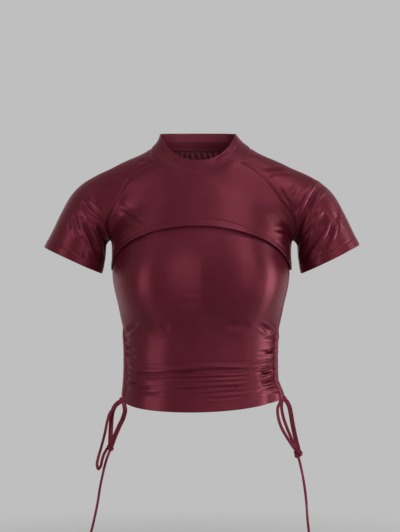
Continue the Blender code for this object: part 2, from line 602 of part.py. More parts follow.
def sleeve_grid(side):
    """Points of a raglan sleeve, from the collar to the sleeve's hem, open at the underarm."""
    rows = RAGLAN_STEPS + UNDERARM_STEPS
    station = np.concatenate((
        np.linspace(0.0, ARMPIT_STATION, RAGLAN_STEPS + 1),
        np.linspace(ARMPIT_STATION, CUFF_STATION, UNDERARM_STEPS + 1)[1:]))
    index = station / (len(ARM) - 1) * (len(ARM_CHAIN[0]) - 1)
    low = index.astype(int)
    part = (index - low)[:, None]
    centre, along, outward = (chain[low] * (1 - part) + chain[low + 1] * part
                              for chain in ARM_CHAIN[:3])
    front = mirrored(raglan_seam(side, 1), side)
    back = mirrored(raglan_seam(side, -1), side)
    over = np.linspace(-1.0, 1.0, SLEEVE_COLUMNS + 1)
    neck_angles = np.linspace(RAGLAN_ANGLE, -RAGLAN_ANGLE, SLEEVE_COLUMNS + 1)
    neck = neck_point(neck_angles if side > 0 else 180.0 - neck_angles)
    grid = np.zeros((rows + 1, SLEEVE_COLUMNS + 1, 3))
    lead = (mirrored(neck, side) - centre[0]) @ along[0]
    for row in range(rows + 1):
        last = min(row, RAGLAN_STEPS)
        arms = [edge[last] - centre[row] for edge in (front, back)]
        shift = [arm @ along[row] for arm in arms]
        turn = [abs(math.atan2(arm[1], arm @ outward[row])) for arm in arms]
        if row >= RAGLAN_STEPS:
            turn = [math.pi, math.pi]
        if row > RAGLAN_STEPS:
            shift = [0.0, 0.0]
        start_fade = (1 - row / rows) ** 4
        ahead = np.where(over < 0, shift[0], shift[1]) * over ** 2
        plain = np.where(over < 0, (front[0] - centre[0]) @ along[0],
                         (back[0] - centre[0]) @ along[0]) * over ** 2
        ahead = ahead + (lead - plain) * start_fade
        angle = np.where(over < 0, turn[0], turn[1]) * over
        if side < 0 and row > RAGLAN_STEPS:
            reach = (row - RAGLAN_STEPS) / UNDERARM_STEPS
            ahead = ahead + LEFT_CUFF_DROP * reach * (1 + np.cos(angle)) / 2
        aim = (np.cos(angle)[:, None] * outward[row]
               + np.sin(angle)[:, None] * np.array((0.0, 1.0, 0.0)))
        start = centre[row] + ahead[:, None] * along[row]
        grid[row] = first_hit(figure_field, start, aim, 0.12)
        if row <= RAGLAN_STEPS:
            grid[row, 0], grid[row, -1] = front[row], back[row]
    grid[0] = mirrored(neck, side)
    return mirrored(grid, side)


def sleeve(name, side, material, creases):
    grid = pull_in(sleeve_grid(side))
    outer, normal = upper_layer(grid)
    return cloth(name, creased(outer, normal, creases), normal, material)


def collar(material):
    """The stand collar: a ring whose foot follows the neck seam."""
    yoke_steps = (180.0 - 2 * RAGLAN_ANGLE) / PANEL_COLUMNS
    sleeve_steps = 2 * RAGLAN_ANGLE / SLEEVE_COLUMNS
    angles = np.concatenate((
        np.arange(PANEL_COLUMNS) * yoke_steps + RAGLAN_ANGLE,
        np.arange(SLEEVE_COLUMNS) * sleeve_steps + 180.0 - RAGLAN_ANGLE,
        np.arange(PANEL_COLUMNS) * yoke_steps + 180.0 + RAGLAN_ANGLE,
        np.arange(SLEEVE_COLUMNS) * sleeve_steps + 360.0 - RAGLAN_ANGLE))
    seam = neck_point(angles)
    foot = seam + normals(figure_field, seam) * (LAYER_GAP + CLOTH)
    turn = np.radians(angles)
    forward = np.sin(turn)
    depth = np.where(forward > 0, COLLAR_FRONT, COLLAR_BACK)
    drop = np.clip(forward, 0.0, 1.0) ** 1.5
    height = COLLAR_TOP_BACK - COLLAR_DIP * np.where(forward < 0, np.abs(np.cos(turn)), 1 - drop)
    height = height + (COLLAR_TOP_FRONT - COLLAR_TOP_BACK) * drop
    power = 2 / COLLAR_SQUARENESS
    top = np.stack((COLLAR_SHIFT + COLLAR_HALF_WIDTH * np.sign(np.cos(turn))
                    * np.abs(np.cos(turn)) ** power,
                    -depth * np.sign(forward) * np.abs(forward) ** power, height), axis=-1)
    rise = np.linspace(0.0, 1.0, COLLAR_ROWS + 1)[:, None, None]
    grid = foot + (top - foot) * rise
    centre = np.array((COLLAR_SHIFT, 0.0, 0.0))
    inward = unit((centre - grid) * np.array((1.0, 1.0, 0.0)))
    grid = grid + inward * COLLAR_HOLLOW * np.sin(math.pi * rise)
    grid = grid[::-1]
    upward = unit(grid[:1] - grid[-1:])
    round_neck = unit(np.roll(grid, -1, axis=1) - np.roll(grid, 1, axis=1))
    normal = unit(np.cross(round_neck, np.broadcast_to(upward, grid.shape)))
    normal = normal * np.sign((normal * -inward).sum(-1, keepdims=True))
    grid[-1] += upward[0] * SEAM_GAP * 2
    return cloth("collar", grid, normal, material, closed=True)


# ---------------------------------------------------------------- tube body and channels
def body_heights(angle):
    """Heights of the tube body's rows at an angle: arched at the top, dropped at the hem."""
    gathers = np.linspace(GATHER_TOP, GATHER_FOOT, GATHER_ROWS + 1)
    levels = np.concatenate((BODY_LEVELS, gathers, (HEM_SIDE,)))[:, None]
    round_off = np.abs(np.sin(np.radians(angle)))[None, :]
    rise = (TUBE_TOP_CENTRE - TUBE_TOP_SIDE) * round_off ** 0.7
    tilt = HEM_TILT * np.cos(np.radians(angle))[None, :]
    return (levels + rise * smoothstep(GATHER_TOP, TUBE_TOP_SIDE, levels)
            + (tilt - HEM_DROP * round_off) * smoothstep(-0.34, HEM_SIDE, levels))


def gathered(points, angle, normal):
    """Small gathers that run from the side seams into both panels, and the hem's corners."""
    seams = (CHANNEL_FORWARD_RIGHT, 180.0 - CHANNEL_FORWARD_LEFT)
    from_seam = np.min([np.abs((angle - seam + 180.0) % 360.0 - 180.0) for seam in seams], axis=0)
    z = points[..., 2]
    wave = np.cos(2 * math.pi * (z - GATHER_TOP) / GATHER_STEP + 0.05 * from_seam)
    zone = smoothstep(GATHER_TOP + 0.006, GATHER_TOP - 0.02, z)
    zone = zone * smoothstep(HEM_SIDE, GATHER_FOOT + 0.006, z)
    reach = 1 - smoothstep(0.4, 1.0, from_seam / GATHER_REACH)
    flare = smoothstep(-0.385, HEM_SIDE, z) * (1 - smoothstep(4.0, 22.0, from_seam))
    flare = flare * np.where(points[..., 0] > 0, HEM_FLARE_RIGHT, HEM_FLARE_LEFT)
    lift = GATHER_DEPTH * wave * zone * reach + flare
    return points + normal * lift[..., None]


def body_surface(angle, height):
    points = torso_point(angle, height)
    return points, normals(torso_field, points)


def body_panel(name, first, last, material, creases):
    """The front or back of the tube body, between the side seams."""
    angle = np.linspace(first, last, PANEL_COLUMNS + 1)
    height = body_heights(angle)
    angle = np.broadcast_to(angle, height.shape)
    points, normal = body_surface(angle, height)
    tucked = TUCK * smoothstep(-0.205, -0.165, height) * smoothstep(-0.105, -0.150, height)
    points = creased(pull_in(points), normal, creases) - normal * tucked[..., None]
    return cloth(name, gathered(points, angle, normal), normal, material)


def channel(name, side, material):
    """A strip of cloth over a side seam, stitched into two tunnels for the drawcord."""
    across = np.linspace(-1.0, 1.0, CHANNEL_COLUMNS + 1)
    spread = CHANNEL_HALF_WIDTH / SIDE_RADIUS
    middle = CHANNEL_FORWARD_RIGHT if side > 0 else 180.0 - CHANNEL_FORWARD_LEFT
    angle = middle + side * np.degrees(spread) * across
    rows = body_heights(angle)[len(BODY_LEVELS):]
    angle = np.broadcast_to(angle, rows.shape)
    points, normal = body_surface(angle, rows)
    tunnel = np.sin(math.pi * np.abs(across)) ** 2
    lift = LAYER_GAP + CLOTH + TUNNEL_RISE * tunnel
    points = gathered(points, angle, normal) + normal * lift[None, :, None]
    return cloth(name, points, normal, material)


# ---------------------------------------------------------------- drawcords and knots
def cord(name, material):
    """A drawcord, as a round tube along a smooth curve through its route."""
    route = np.array(ROUTES[name])
    length = np.linalg.norm(np.diff(route, axis=0), axis=1).sum()
    thickness = THICKNESS[name]
    count = max(6, round(length / (2.4 * thickness)))
    curve = bpy.data.curves.new(name, "CURVE")
    curve.dimensions = "3D"
    spline = curve.splines.new("POLY")
    spline.points.add(count - 1)
    for point, place in zip(spline.points, curve_through(route, count)):
        point.co = (*place, 1.0)
    curve.bevel_depth = thickness / 2
    curve.bevel_resolution = 2
    curve.use_fill_caps = True
    curve.materials.append(material)
    piece = bpy.data.objects.new(name, curve)
    bpy.context.collection.objects.link(piece)
    return piece


def knot(name, material):
    """A drawn-up knot: a small rounded lump."""
    shape = KNOTS[name]
    bm = bmesh.new()
    bmesh.ops.create_icosphere(bm, subdivisions=2, radius=0.5)
    bmesh.ops.scale(bm, vec=(shape.width, shape.depth, shape.height), verts=bm.verts[:])
    mesh = bpy.data.meshes.new(name)
    bm.to_mesh(mesh)
    bm.free()
    mesh.shade_smooth()
    mesh.materials.append(material)
    piece = bpy.data.objects.new(name, mesh)
    piece.location = shape.centre
    piece.rotation_euler = (0.0, math.radians(shape.tilt), 0.0)
    bpy.context.collection.objects.link(piece)
    return piece


def satin(name, colour, roughness):
    material = bpy.data.materials.new(name)
    material.use_nodes = True
    shader = material.node_tree.nodes["Principled BSDF"]
    shader.inputs["Base Color"].default_value = colour
    shader.inputs["Roughness"].default_value = roughness
    shader.inputs["Metallic"].default_value = 0.0
    return material


def main():
    for thing in list(bpy.data.objects):
        bpy.data.objects.remove(thing, do_unlink=True)
    yoke("yoke_front", 1, satin("yoke_front", WINE, ROUGHNESS), YOKE_FRONT_CREASES)
    yoke("yoke_back", -1, satin("yoke_back", WINE, ROUGHNESS), YOKE_BACK_CREASES)
    sleeve("sleeve_right", 1, satin("sleeve_right", WINE, ROUGHNESS), SLEEVE_RIGHT_CREASES)
    sleeve("sleeve_left", -1, satin("sleeve_left", WINE, ROUGHNESS), SLEEVE_LEFT_CREASES)
    collar(satin("collar", WINE, ROUGHNESS))
    body_panel("body_front", CHANNEL_FORWARD_RIGHT, 180.0 - CHANNEL_FORWARD_LEFT,
               satin("body_front", WINE, ROUGHNESS), BODY_FRONT_CREASES)
    body_panel("body_back", 180.0 - CHANNEL_FORWARD_LEFT, 360.0 + CHANNEL_FORWARD_RIGHT,
               satin("body_back", WINE, ROUGHNESS), BODY_BACK_CREASES)
    channel("channel_right", 1, satin("channel_right", WINE, ROUGHNESS))
    channel("channel_left", -1, satin("channel_left", WINE, ROUGHNESS))
    for name in ROUTES:
        cord(name, satin(name, WINE_CORD, ROUGHNESS))
    for name in KNOTS:
        knot(name, satin(name, WINE_CORD, ROUGHNESS))


main()
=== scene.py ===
"""Looks of the ruched crop top: satin shells, seams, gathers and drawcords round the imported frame.

Units are metres, but millimetres in the tables of folds. +Z is up, the front faces -Y, and
"right" in a name is the +X side. The cloth follows the same general figure as the solids, with
finer folds laid on it.
"""

import math
from collections import namedtuple

import bmesh
import bpy
import numpy as np
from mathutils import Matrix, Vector


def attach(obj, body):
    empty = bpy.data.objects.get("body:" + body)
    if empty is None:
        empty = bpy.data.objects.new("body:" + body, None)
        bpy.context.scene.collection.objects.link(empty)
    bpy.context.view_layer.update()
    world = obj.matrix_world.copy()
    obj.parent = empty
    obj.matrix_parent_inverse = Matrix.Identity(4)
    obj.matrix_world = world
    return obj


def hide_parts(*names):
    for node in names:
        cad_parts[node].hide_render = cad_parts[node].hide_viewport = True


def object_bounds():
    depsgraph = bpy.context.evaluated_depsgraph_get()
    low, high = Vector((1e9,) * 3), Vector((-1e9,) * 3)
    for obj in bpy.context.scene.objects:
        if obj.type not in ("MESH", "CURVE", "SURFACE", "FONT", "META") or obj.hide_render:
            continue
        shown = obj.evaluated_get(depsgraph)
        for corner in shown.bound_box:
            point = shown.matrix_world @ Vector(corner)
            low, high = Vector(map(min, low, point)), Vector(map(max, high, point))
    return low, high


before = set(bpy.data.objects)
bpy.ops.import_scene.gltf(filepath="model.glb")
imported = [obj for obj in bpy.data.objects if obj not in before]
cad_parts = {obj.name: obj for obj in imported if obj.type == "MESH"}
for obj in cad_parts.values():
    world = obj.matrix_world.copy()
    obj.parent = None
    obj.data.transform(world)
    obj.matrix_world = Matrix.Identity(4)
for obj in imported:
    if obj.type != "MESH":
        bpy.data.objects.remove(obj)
CAD_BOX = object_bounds()


# ---------------------------------------------------------------- camera
CAMERA_DISTANCE = 2.6
CAMERA_SIDE = -0.0017       # the camera stands this far to the right of the centre line
CAMERA_HEIGHT = -0.1972     # and looks level at this height
VIEW_HEIGHT = 0.9044        # what the view holds, top to bottom, at the garment's middle plane
SENSOR = 36.0


# ---------------------------------------------------------------- driving dimensions
# The solids are made from the same values
CLOTH = 0.0012              # wall of one layer of double-knit satin
LAYER_GAP = 0.0009          # space between the tube body and the upper layer over it
TUCK = 0.0014               # the tube body draws in by this much more under that layer

SEAM_FORWARD = 8.0          # degrees that the side seams lie in front of the widest line
CHANNEL_FORWARD_RIGHT = 16.0    # and the tube body's right one, which is turned further
CHANNEL_FORWARD_LEFT = 8.0
HEM_SIDE = -0.418           # height of the bottom hem at the side seams
HEM_DROP = 0.019            # how much lower the hem is at centre front and centre back
HEM_TILT = 0.0035           # the right end of it is drawn up, and the left end lies lower
HEM_FLARE_RIGHT = 0.0090    # how far the hem's corners stand out at the side seams
HEM_FLARE_LEFT = 0.0012
TUBE_TOP_CENTRE = -0.121    # top edge of the tube body, under the upper layer
TUBE_TOP_SIDE = -0.160

ARCH_SIDE = -0.203          # front hem of the upper layer at the side seams
ARCH_RISE = 0.071           # and how far its arch rises to the centre
ARCH_POWER = 2.1            # how square the arch is
ARCH_FULLNESS = 0.667       # how high its shoulders stand
ARCH_LEAN = 0.045           # its crown lies this share of the half width to the left
ARCH_STAND_OFF = 0.0030     # the arch stands clear of the tube body in its middle
BACK_HEM_RISE = 0.030       # the back hem of the upper layer is a flatter arch

COLLAR_SHIFT = -0.0050      # the collar sits a little to the left
SEAM_LEAN = -0.0065         # and the upper ends of the raglan seams with it
RAGLAN_ANGLE = 40.0         # degrees from the side, round the neck, where those seams start
COLLAR_HALF_WIDTH = 0.0640  # of the collar's top edge
COLLAR_FRONT = 0.0600       # depth from the neck's axis to the top edge in front
COLLAR_BACK = 0.0530        # and behind
NECK_BACK = 0.003           # height of the neck seam behind
NECK_SIDE = 0.003           # at the sides
NECK_FRONT = -0.048         # and in front
COLLAR_TOP_BACK = 0.0315    # height of the top edge behind
COLLAR_TOP_FRONT = -0.0215  # and in front
COLLAR_DIP = 0.0050         # the top edge dips by this much at the sides of the neck
COLLAR_HOLLOW = 0.0020      # the collar's wall is hollowed a little between its edges
COLLAR_SQUARENESS = 2.4     # power of the collar's oval top edge

SQUARENESS = 2.25           # power of the figure's oval sections
ARMPIT_X = 0.1560           # the point of the armpit, where four seams meet
ARMPIT_Y = -0.0040

CHANNEL_HALF_WIDTH = 0.0115     # of the strips along the side seams that hold the cords
SIDE_RADIUS = 0.089         # of the torso's curve, front to back, at those seams
TUNNEL_RISE = 0.0016        # how far the channels stand up over the cord

# Seams, hems and stitches
SEAM_SINK = 0.0013          # how far a panel turns in at a seam
SEAM_REACH = 0.0032         # over this distance
HEM_ALLOWANCE = 0.013       # depth of a turned-up hem
HEM_PUFF = 0.0005           # the turned-up layer lifts the cloth by this much
STITCH = 0.0024             # length of one stitch
STITCH_PITCH = 0.0031
STITCH_WIDTH = 0.00045
STITCH_LIFT = 0.0001        # the stitches' middle lies this far above the cloth

# Steps of the first grids, the same along a shared seam
RAGLAN_STEPS = 8
SIDE_STEPS = 3
UNDERARM_STEPS = 4
PANEL_COLUMNS = 20
SLEEVE_COLUMNS = 18
EVEN_ROUNDS = 60


# ---------------------------------------------------------------- tables
# Sections of the torso: height, half width, depth in front and depth behind
TORSO = (
    (-0.470, 0.1340, 0.0930, 0.0920),
    (-0.437, 0.1320, 0.0900, 0.0880),
    (-0.405, 0.1305, 0.0885, 0.0830),
    (-0.357, 0.1290, 0.0900, 0.0780),
    (-0.323, 0.1300, 0.0940, 0.0800),
    (-0.303, 0.1325, 0.0985, 0.0825),
    (-0.282, 0.1370, 0.1050, 0.0855),
    (-0.262, 0.1410, 0.1110, 0.0890),
    (-0.241, 0.1460, 0.1160, 0.0925),
    (-0.221, 0.1495, 0.1180, 0.0960),
    (-0.200, 0.1505, 0.1170, 0.0990),
    (-0.180, 0.1500, 0.1140, 0.1005),
    (-0.150, 0.1505, 0.1075, 0.1010),
    (-0.120, 0.1470, 0.0980, 0.0985),
    (-0.090, 0.1370, 0.0870, 0.0925),
    (-0.060, 0.1180, 0.0760, 0.0820),
    (-0.030, 0.0950, 0.0670, 0.0680),
    (-0.010, 0.0780, 0.0620, 0.0590),
    (0.010, 0.0660, 0.0590, 0.0540),
    (0.040, 0.0590, 0.0560, 0.0500),
)

# A soft fullness on each side of the bust, as the cut of the panels gives it
BUST = dict(x=0.066, y=-0.064, z=-0.222, width=0.062, depth=0.060, height=0.066, blend=0.030)

# The shoulder and the sleeve on the +X side: points of the cloth's outer edge seen from the
# front (x, z), the slope of that edge in degrees below the horizontal, and the section's reach
# upward, downward and to the front and back
ARM = (
    (0.0780, 0.0010, 24.0, 0.042, 0.042, 0.053),
    (0.1265, -0.0185, 26.0, 0.046, 0.046, 0.055),
    (0.1550, -0.0325, 26.5, 0.048, 0.048, 0.056),
    (0.1825, -0.0450, 29.0, 0.049, 0.046, 0.056),
    (0.2050, -0.0590, 38.0, 0.050, 0.044, 0.056),
    (0.2235, -0.0780, 51.0, 0.050, 0.044, 0.055),
    (0.2390, -0.1050, 61.0, 0.048, 0.042, 0.053),
    (0.2525, -0.1330, 63.0, 0.050, 0.041, 0.053),
    (0.2660, -0.1600, 63.0, 0.053, 0.050, 0.054),
    (0.2860, -0.2008, 63.0, 0.056, 0.056, 0.056),
)
ARMPIT_STATION = 6.1        # rows of the table that lie level with the armpit
CUFF_STATION = 8.0          # and with the sleeve's hem
LEFT_CUFF_DROP = 0.0050     # the left sleeve's hem reaches this much further at its outer edge
SHOULDER_SHIFT = 0.0027     # both sleeves hang this much further to the right
SHOULDER_BLEND = 0.030      # how softly the arm runs into the torso at the shoulder
ARMPIT_BLEND = 0.018        # and in the armpit
BLEND_HEIGHTS = (-0.15, -0.08)      # heights between which the armpit's blend turns into it
LEAN_HEIGHTS = (-0.13, -0.05)       # between which the lean of the raglan seams grows
SWAY_HEIGHTS = (-0.27, -0.17)       # between which the sleeves' shift grows
SWAY_WIDTHS = (0.10, 0.23)          # and distances from the centre line between which it does

# Raglan seams below the collar, in front and behind: x and z of their points (+X side)
RAGLAN_FRONT = (
    (0.0935, -0.0353), (0.1090, -0.0488), (0.1225, -0.0660), (0.1325, -0.0830),
    (0.1455, -0.1031), (0.1530, -0.1165), (0.1575, -0.1291),
)
RAGLAN_BACK = (
    (0.0800, -0.0230), (0.1010, -0.0440), (0.1190, -0.0680), (0.1340, -0.0900),
    (0.1450, -0.1080), (0.1530, -0.1250), (0.1575, -0.1380),
)

# The drawcords, from the mouths of the channels. Points of each route, in metres
ROUTES = {
    "cord_right_outer": (
        (0.1402, -0.0220, -0.4196), (0.1412, -0.0222, -0.4218), (0.1448, -0.0225, -0.4262),
        (0.1484, -0.0228, -0.4332), (0.1510, -0.0230, -0.4440), (0.1535, -0.0230, -0.4590),
        (0.1568, -0.0230, -0.4760), (0.1604, -0.0232, -0.4920), (0.1636, -0.0236, -0.5043),
    ),
    "cord_right_inner": (
        (0.1332, -0.0376, -0.4226), (0.1320, -0.0380, -0.4262), (0.1286, -0.0384, -0.4350),
        (0.1290, -0.0380, -0.4480), (0.1345, -0.0368, -0.4670), (0.1432, -0.0350, -0.4830),
        (0.1522, -0.0325, -0.4970), (0.1592, -0.0298, -0.5067),
    ),
    "cord_right_loop": (
        (0.1362, -0.0332, -0.4214), (0.1358, -0.0334, -0.4246), (0.1352, -0.0334, -0.4340),
        (0.1380, -0.0325, -0.4500), (0.1440, -0.0305, -0.4680), (0.1510, -0.0275, -0.4850),
        (0.1558, -0.0254, -0.4970), (0.1590, -0.0245, -0.5055),
    ),
    "cord_right_tail": (
        (0.1644, -0.0257, -0.5207), (0.1666, -0.0255, -0.5290), (0.1702, -0.0250, -0.5450),
        (0.1744, -0.0240, -0.5690), (0.1774, -0.0230, -0.5945), (0.1792, -0.0222, -0.6200),
        (0.1822, -0.0215, -0.6490), (0.1844, -0.0208, -0.6750), (0.1854, -0.0205, -0.7000),
    ),
    "cord_left_outer": (
        (-0.1350, -0.0070, -0.4240), (-0.1358, -0.0072, -0.4260), (-0.1402, -0.0080, -0.4292),
        (-0.1454, -0.0090, -0.4342), (-0.1494, -0.0105, -0.4425), (-0.1513, -0.0125, -0.4540),
        (-0.1522, -0.0150, -0.4700), (-0.1528, -0.0180, -0.4850), (-0.1530, -0.0200, -0.4958),
    ),
    "cord_left_inner": (
        (-0.1304, -0.0228, -0.4279), (-0.1290, -0.0236, -0.4330), (-0.1280, -0.0242, -0.4400),
        (-0.1308, -0.0250, -0.4520), (-0.1386, -0.0262, -0.4690), (-0.1450, -0.0268, -0.4840),
        (-0.1497, -0.0255, -0.4968),
    ),
    "cord_left_loop": (
        (-0.1354, -0.0150, -0.4246), (-0.1402, -0.0160, -0.4300), (-0.1474, -0.0170, -0.4370),
        (-0.1540, -0.0180, -0.4460), (-0.1578, -0.0190, -0.4580), (-0.1618, -0.0205, -0.4780),
        (-0.1688, -0.0217, -0.5050), (-0.1736, -0.0225, -0.5220), (-0.1751, -0.0235, -0.5330),
        (-0.1728, -0.0245, -0.5392), (-0.1694, -0.0250, -0.5350), (-0.1668, -0.0252, -0.5250),
        (-0.1638, -0.0250, -0.5150), (-0.1591, -0.0242, -0.5062),
    ),
    "cord_left_tail": (
        (-0.1541, -0.0218, -0.5096), (-0.1576, -0.0205, -0.5185), (-0.1621, -0.0195, -0.5330),
        (-0.1661, -0.0190, -0.5500), (-0.1706, -0.0190, -0.5720), (-0.1741, -0.0190, -0.5950),
        (-0.1781, -0.0190, -0.6150), (-0.1824, -0.0190, -0.6340), (-0.1858, -0.0190, -0.6480),
        (-0.1896, -0.0190, -0.6700), (-0.1912, -0.0190, -0.6950),
    ),
}

# Folds. Each is a soft furrow (or, with a negative depth, a ridge) along a smooth line
Fold = namedtuple("Fold", "face depth half_width line")


def fold_rows(face, *rows):
    """Folds of the front (+1) or back (-1): depth, half width, x and z pairs in millimetres."""
    return [Fold(face, depth / 1000, half_width / 1000, np.array(line) / 1000)
            for depth, half_width, *line in rows]


BODY_FOLDS = fold_rows(1,
    # under the bust
    (0.9, 4, (-42, -278.8), (12, -279.2), (52, -278)),
    (2.4, 5, (33, -294), (60, -295.2), (86, -295)),
    (1.4, 6, (-68, -292), (-50, -301)),
    (0.6, 3.2, (-36, -242), (28, -244)),
    (0.6, 3.2, (-36, -257), (-6, -255.5), (28, -255)),
    (-0.8, 3.6, (-80, -267.5), (-40, -268)),
    # where the gathers start
    (2.8, 3.4, (-128, -310), (-117, -302), (-103, -293.5)),
    (-1.5, 3, (-126, -316), (-112, -306), (-97, -296)),
    (1.4, 5, (-103, -305.5), (-85, -300)),
    (3.2, 3, (94, -292.5), (106, -300.5), (116, -308)),
    (-1.7, 1.6, (102, -288.5), (114, -297), (127, -309)),
    (1.2, 2.6, (108, -288.5), (119, -296.2), (129, -306)),
    (2.1, 3, (120, -316), (128, -328)),
    (2.2, 3, (108, -344), (119, -339.2), (127, -330)),
    (-1.5, 3, (111, -351), (122, -345.2), (129, -334)),
    (1.9, 2.8, (-129, -333), (-118, -336), (-110, -336.5)),
    (2.1, 2.6, (-129, -343), (-117, -347.5), (-107, -348)),
    # the drawn-up folds across the front
    (-1.6, 3, (-127.9, -358.9), (-111.4, -367.1), (-85, -369.6), (-43.7, -367.1), (-2.5, -362.2),
     (33.8, -362.2), (68.5, -363.9), (99.8, -358.9), (122.9, -347.3)),
    (1.2, 1.8, (-127.9, -364.7), (-106.4, -375.4), (-73.4, -375.4), (-42.1, -373.8)),
    (2, 1.7, (-58.6, -373.8), (-35.5, -372.1), (-2.5, -368.8), (47, -368), (83.3, -368.8)),
    (1.2, 1.6, (22.3, -373.8), (71.8, -372.1), (99.8, -367.1)),
    (1.3, 1.5, (-126.2, -377), (-106.4, -382), (-68.5, -383.6), (-35.5, -382)),
    (1.8, 1.6, (-52, -382.8), (-2.5, -381.2), (43.7, -379.5), (80, -378.7)),
    (2, 1.6, (-127.9, -390.2), (-111.4, -393.5), (-96.5, -392.7)),
    (1, 1.5, (-19, -389.4), (38.8, -387.8), (83.3, -386.1)),
    (2, 1.5, (-114.7, -397.7), (-98.2, -399.3), (-78.4, -398.5)),
    (1.8, 1.6, (-42.1, -400.2), (-2.5, -398.5), (40.4, -396), (73.4, -395.2)),
    (1.3, 1.5, (-127.9, -403.4), (-101.5, -407.6), (-60.2, -408.4)),
    (1.4, 1.5, (-9.1, -408.4), (33.8, -405.1), (76.7, -403.4), (99.8, -398.5)),
    (1.4, 1.6, (5.8, -415.8), (43.7, -414.2), (70.1, -411.7)),
    (2.6, 2, (99.8, -377), (111.4, -372.1), (126.2, -367.1)),
    (1.4, 1.5, (93.2, -383.6), (109.7, -381.2), (126.2, -375.4)),
    (3, 2.2, (94.9, -392.7), (108.1, -389.4), (126.2, -383.6)),
    (1.5, 1.6, (89.9, -405.1), (108.1, -401.8), (126.2, -395.2)),
) + fold_rows(-1,
    (2, 5, (-60, -300), (0, -297), (55, -297.5)),
    (1.3, 4.6, (-30, -278), (35, -279)),
    (2.8, 3.4, (-92, -293), (-115, -300), (-128, -312)),
    (2.8, 3.4, (96, -289), (114, -296), (128, -309)),
    (1.3, 2.3, (-128, -330), (-80, -337.5), (-20, -338.5), (30, -336)),
    (1.4, 2.2, (-30, -351), (30, -353), (90, -349), (128, -340)),
    (-1.5, 3.6, (-127, -356), (-60, -360), (20, -361), (90, -357)),
    (2, 1.9, (-128, -364), (-60, -369), (10, -370), (85, -368)),
    (1.6, 1.7, (20, -377), (80, -375), (128, -368)),
    (2, 1.7, (-110, -380), (-50, -382), (30, -381.5)),
    (1.4, 1.7, (40, -385), (90, -383), (128, -378)),
    (2, 1.7, (-128, -389), (-80, -393), (-20, -394), (50, -393)),
    (1.8, 1.9, (10, -399.5), (70, -398), (128, -391)),
    (1.4, 1.7, (-110, -401), (-40, -403)))
YOKE_FOLDS = fold_rows(1,
    (-0.9, 3, (-141.1, -91.6), (-119.6, -106.4), (-91.6, -122.9)),
    (1.5, 2.6, (-137.8, -103.1), (-119.6, -113), (-93.2, -129.5)),
    (-0.8, 2.6, (-137.8, -118), (-116.3, -124.6), (-91.6, -134.5)),
    (1.3, 2.4, (-136.1, -126.2), (-119.6, -132.8), (-104.8, -141.1)),
    (1.8, 2.2, (-146, -151), (-147.7, -165.8), (-149.3, -184)),
    (2.1, 2.2, (116.3, -138.6), (131.2, -139.4), (141.1, -143.6), (146.9, -152.6), (149.3, -165.8),
     (152.6, -180.7)),
) + fold_rows(-1,
    (2.2, 5, (-152, -138), (-110, -130), (-70, -117)),
    (1.6, 4.2, (-153, -156), (-112, -153)),
    (2, 5, (152, -142), (112, -134), (74, -121)),
    (1.4, 4.2, (153, -162), (118, -160), (90, -166)),
    # the gathers below the collar, behind
    (2.6, 2.2, (-53, -2), (-62, -11), (-70, -20)),
    (3.4, 2.1, (-46, -1), (-54, -12), (-60, -22)),
    (3, 1.9, (-39, 0), (-45, -12), (-50, -25)),
    (3.6, 2.1, (-31, 1), (-36, -12), (-40, -23)),
    (2.8, 1.9, (-23, 1), (-26, -13), (-29, -27)),
    (3.4, 2.2, (-14, 1), (-16, -14), (-17, -30)),
    (2.6, 2, (-5, 1), (-5, -13), (-6, -24)),
    (3.4, 2.2, (5, 1), (7, -14), (8, -28)),
    (3, 1.9, (14, 1), (17, -13), (19, -23)),
    (3.6, 2.1, (23, 1), (28, -12), (32, -25)),
    (2.8, 1.9, (31, 0), (37, -12), (43, -22)),
    (3.3, 2.1, (38, -1), (46, -12), (53, -22)),
    (2.5, 2.1, (45, -2), (54, -11), (62, -20)))
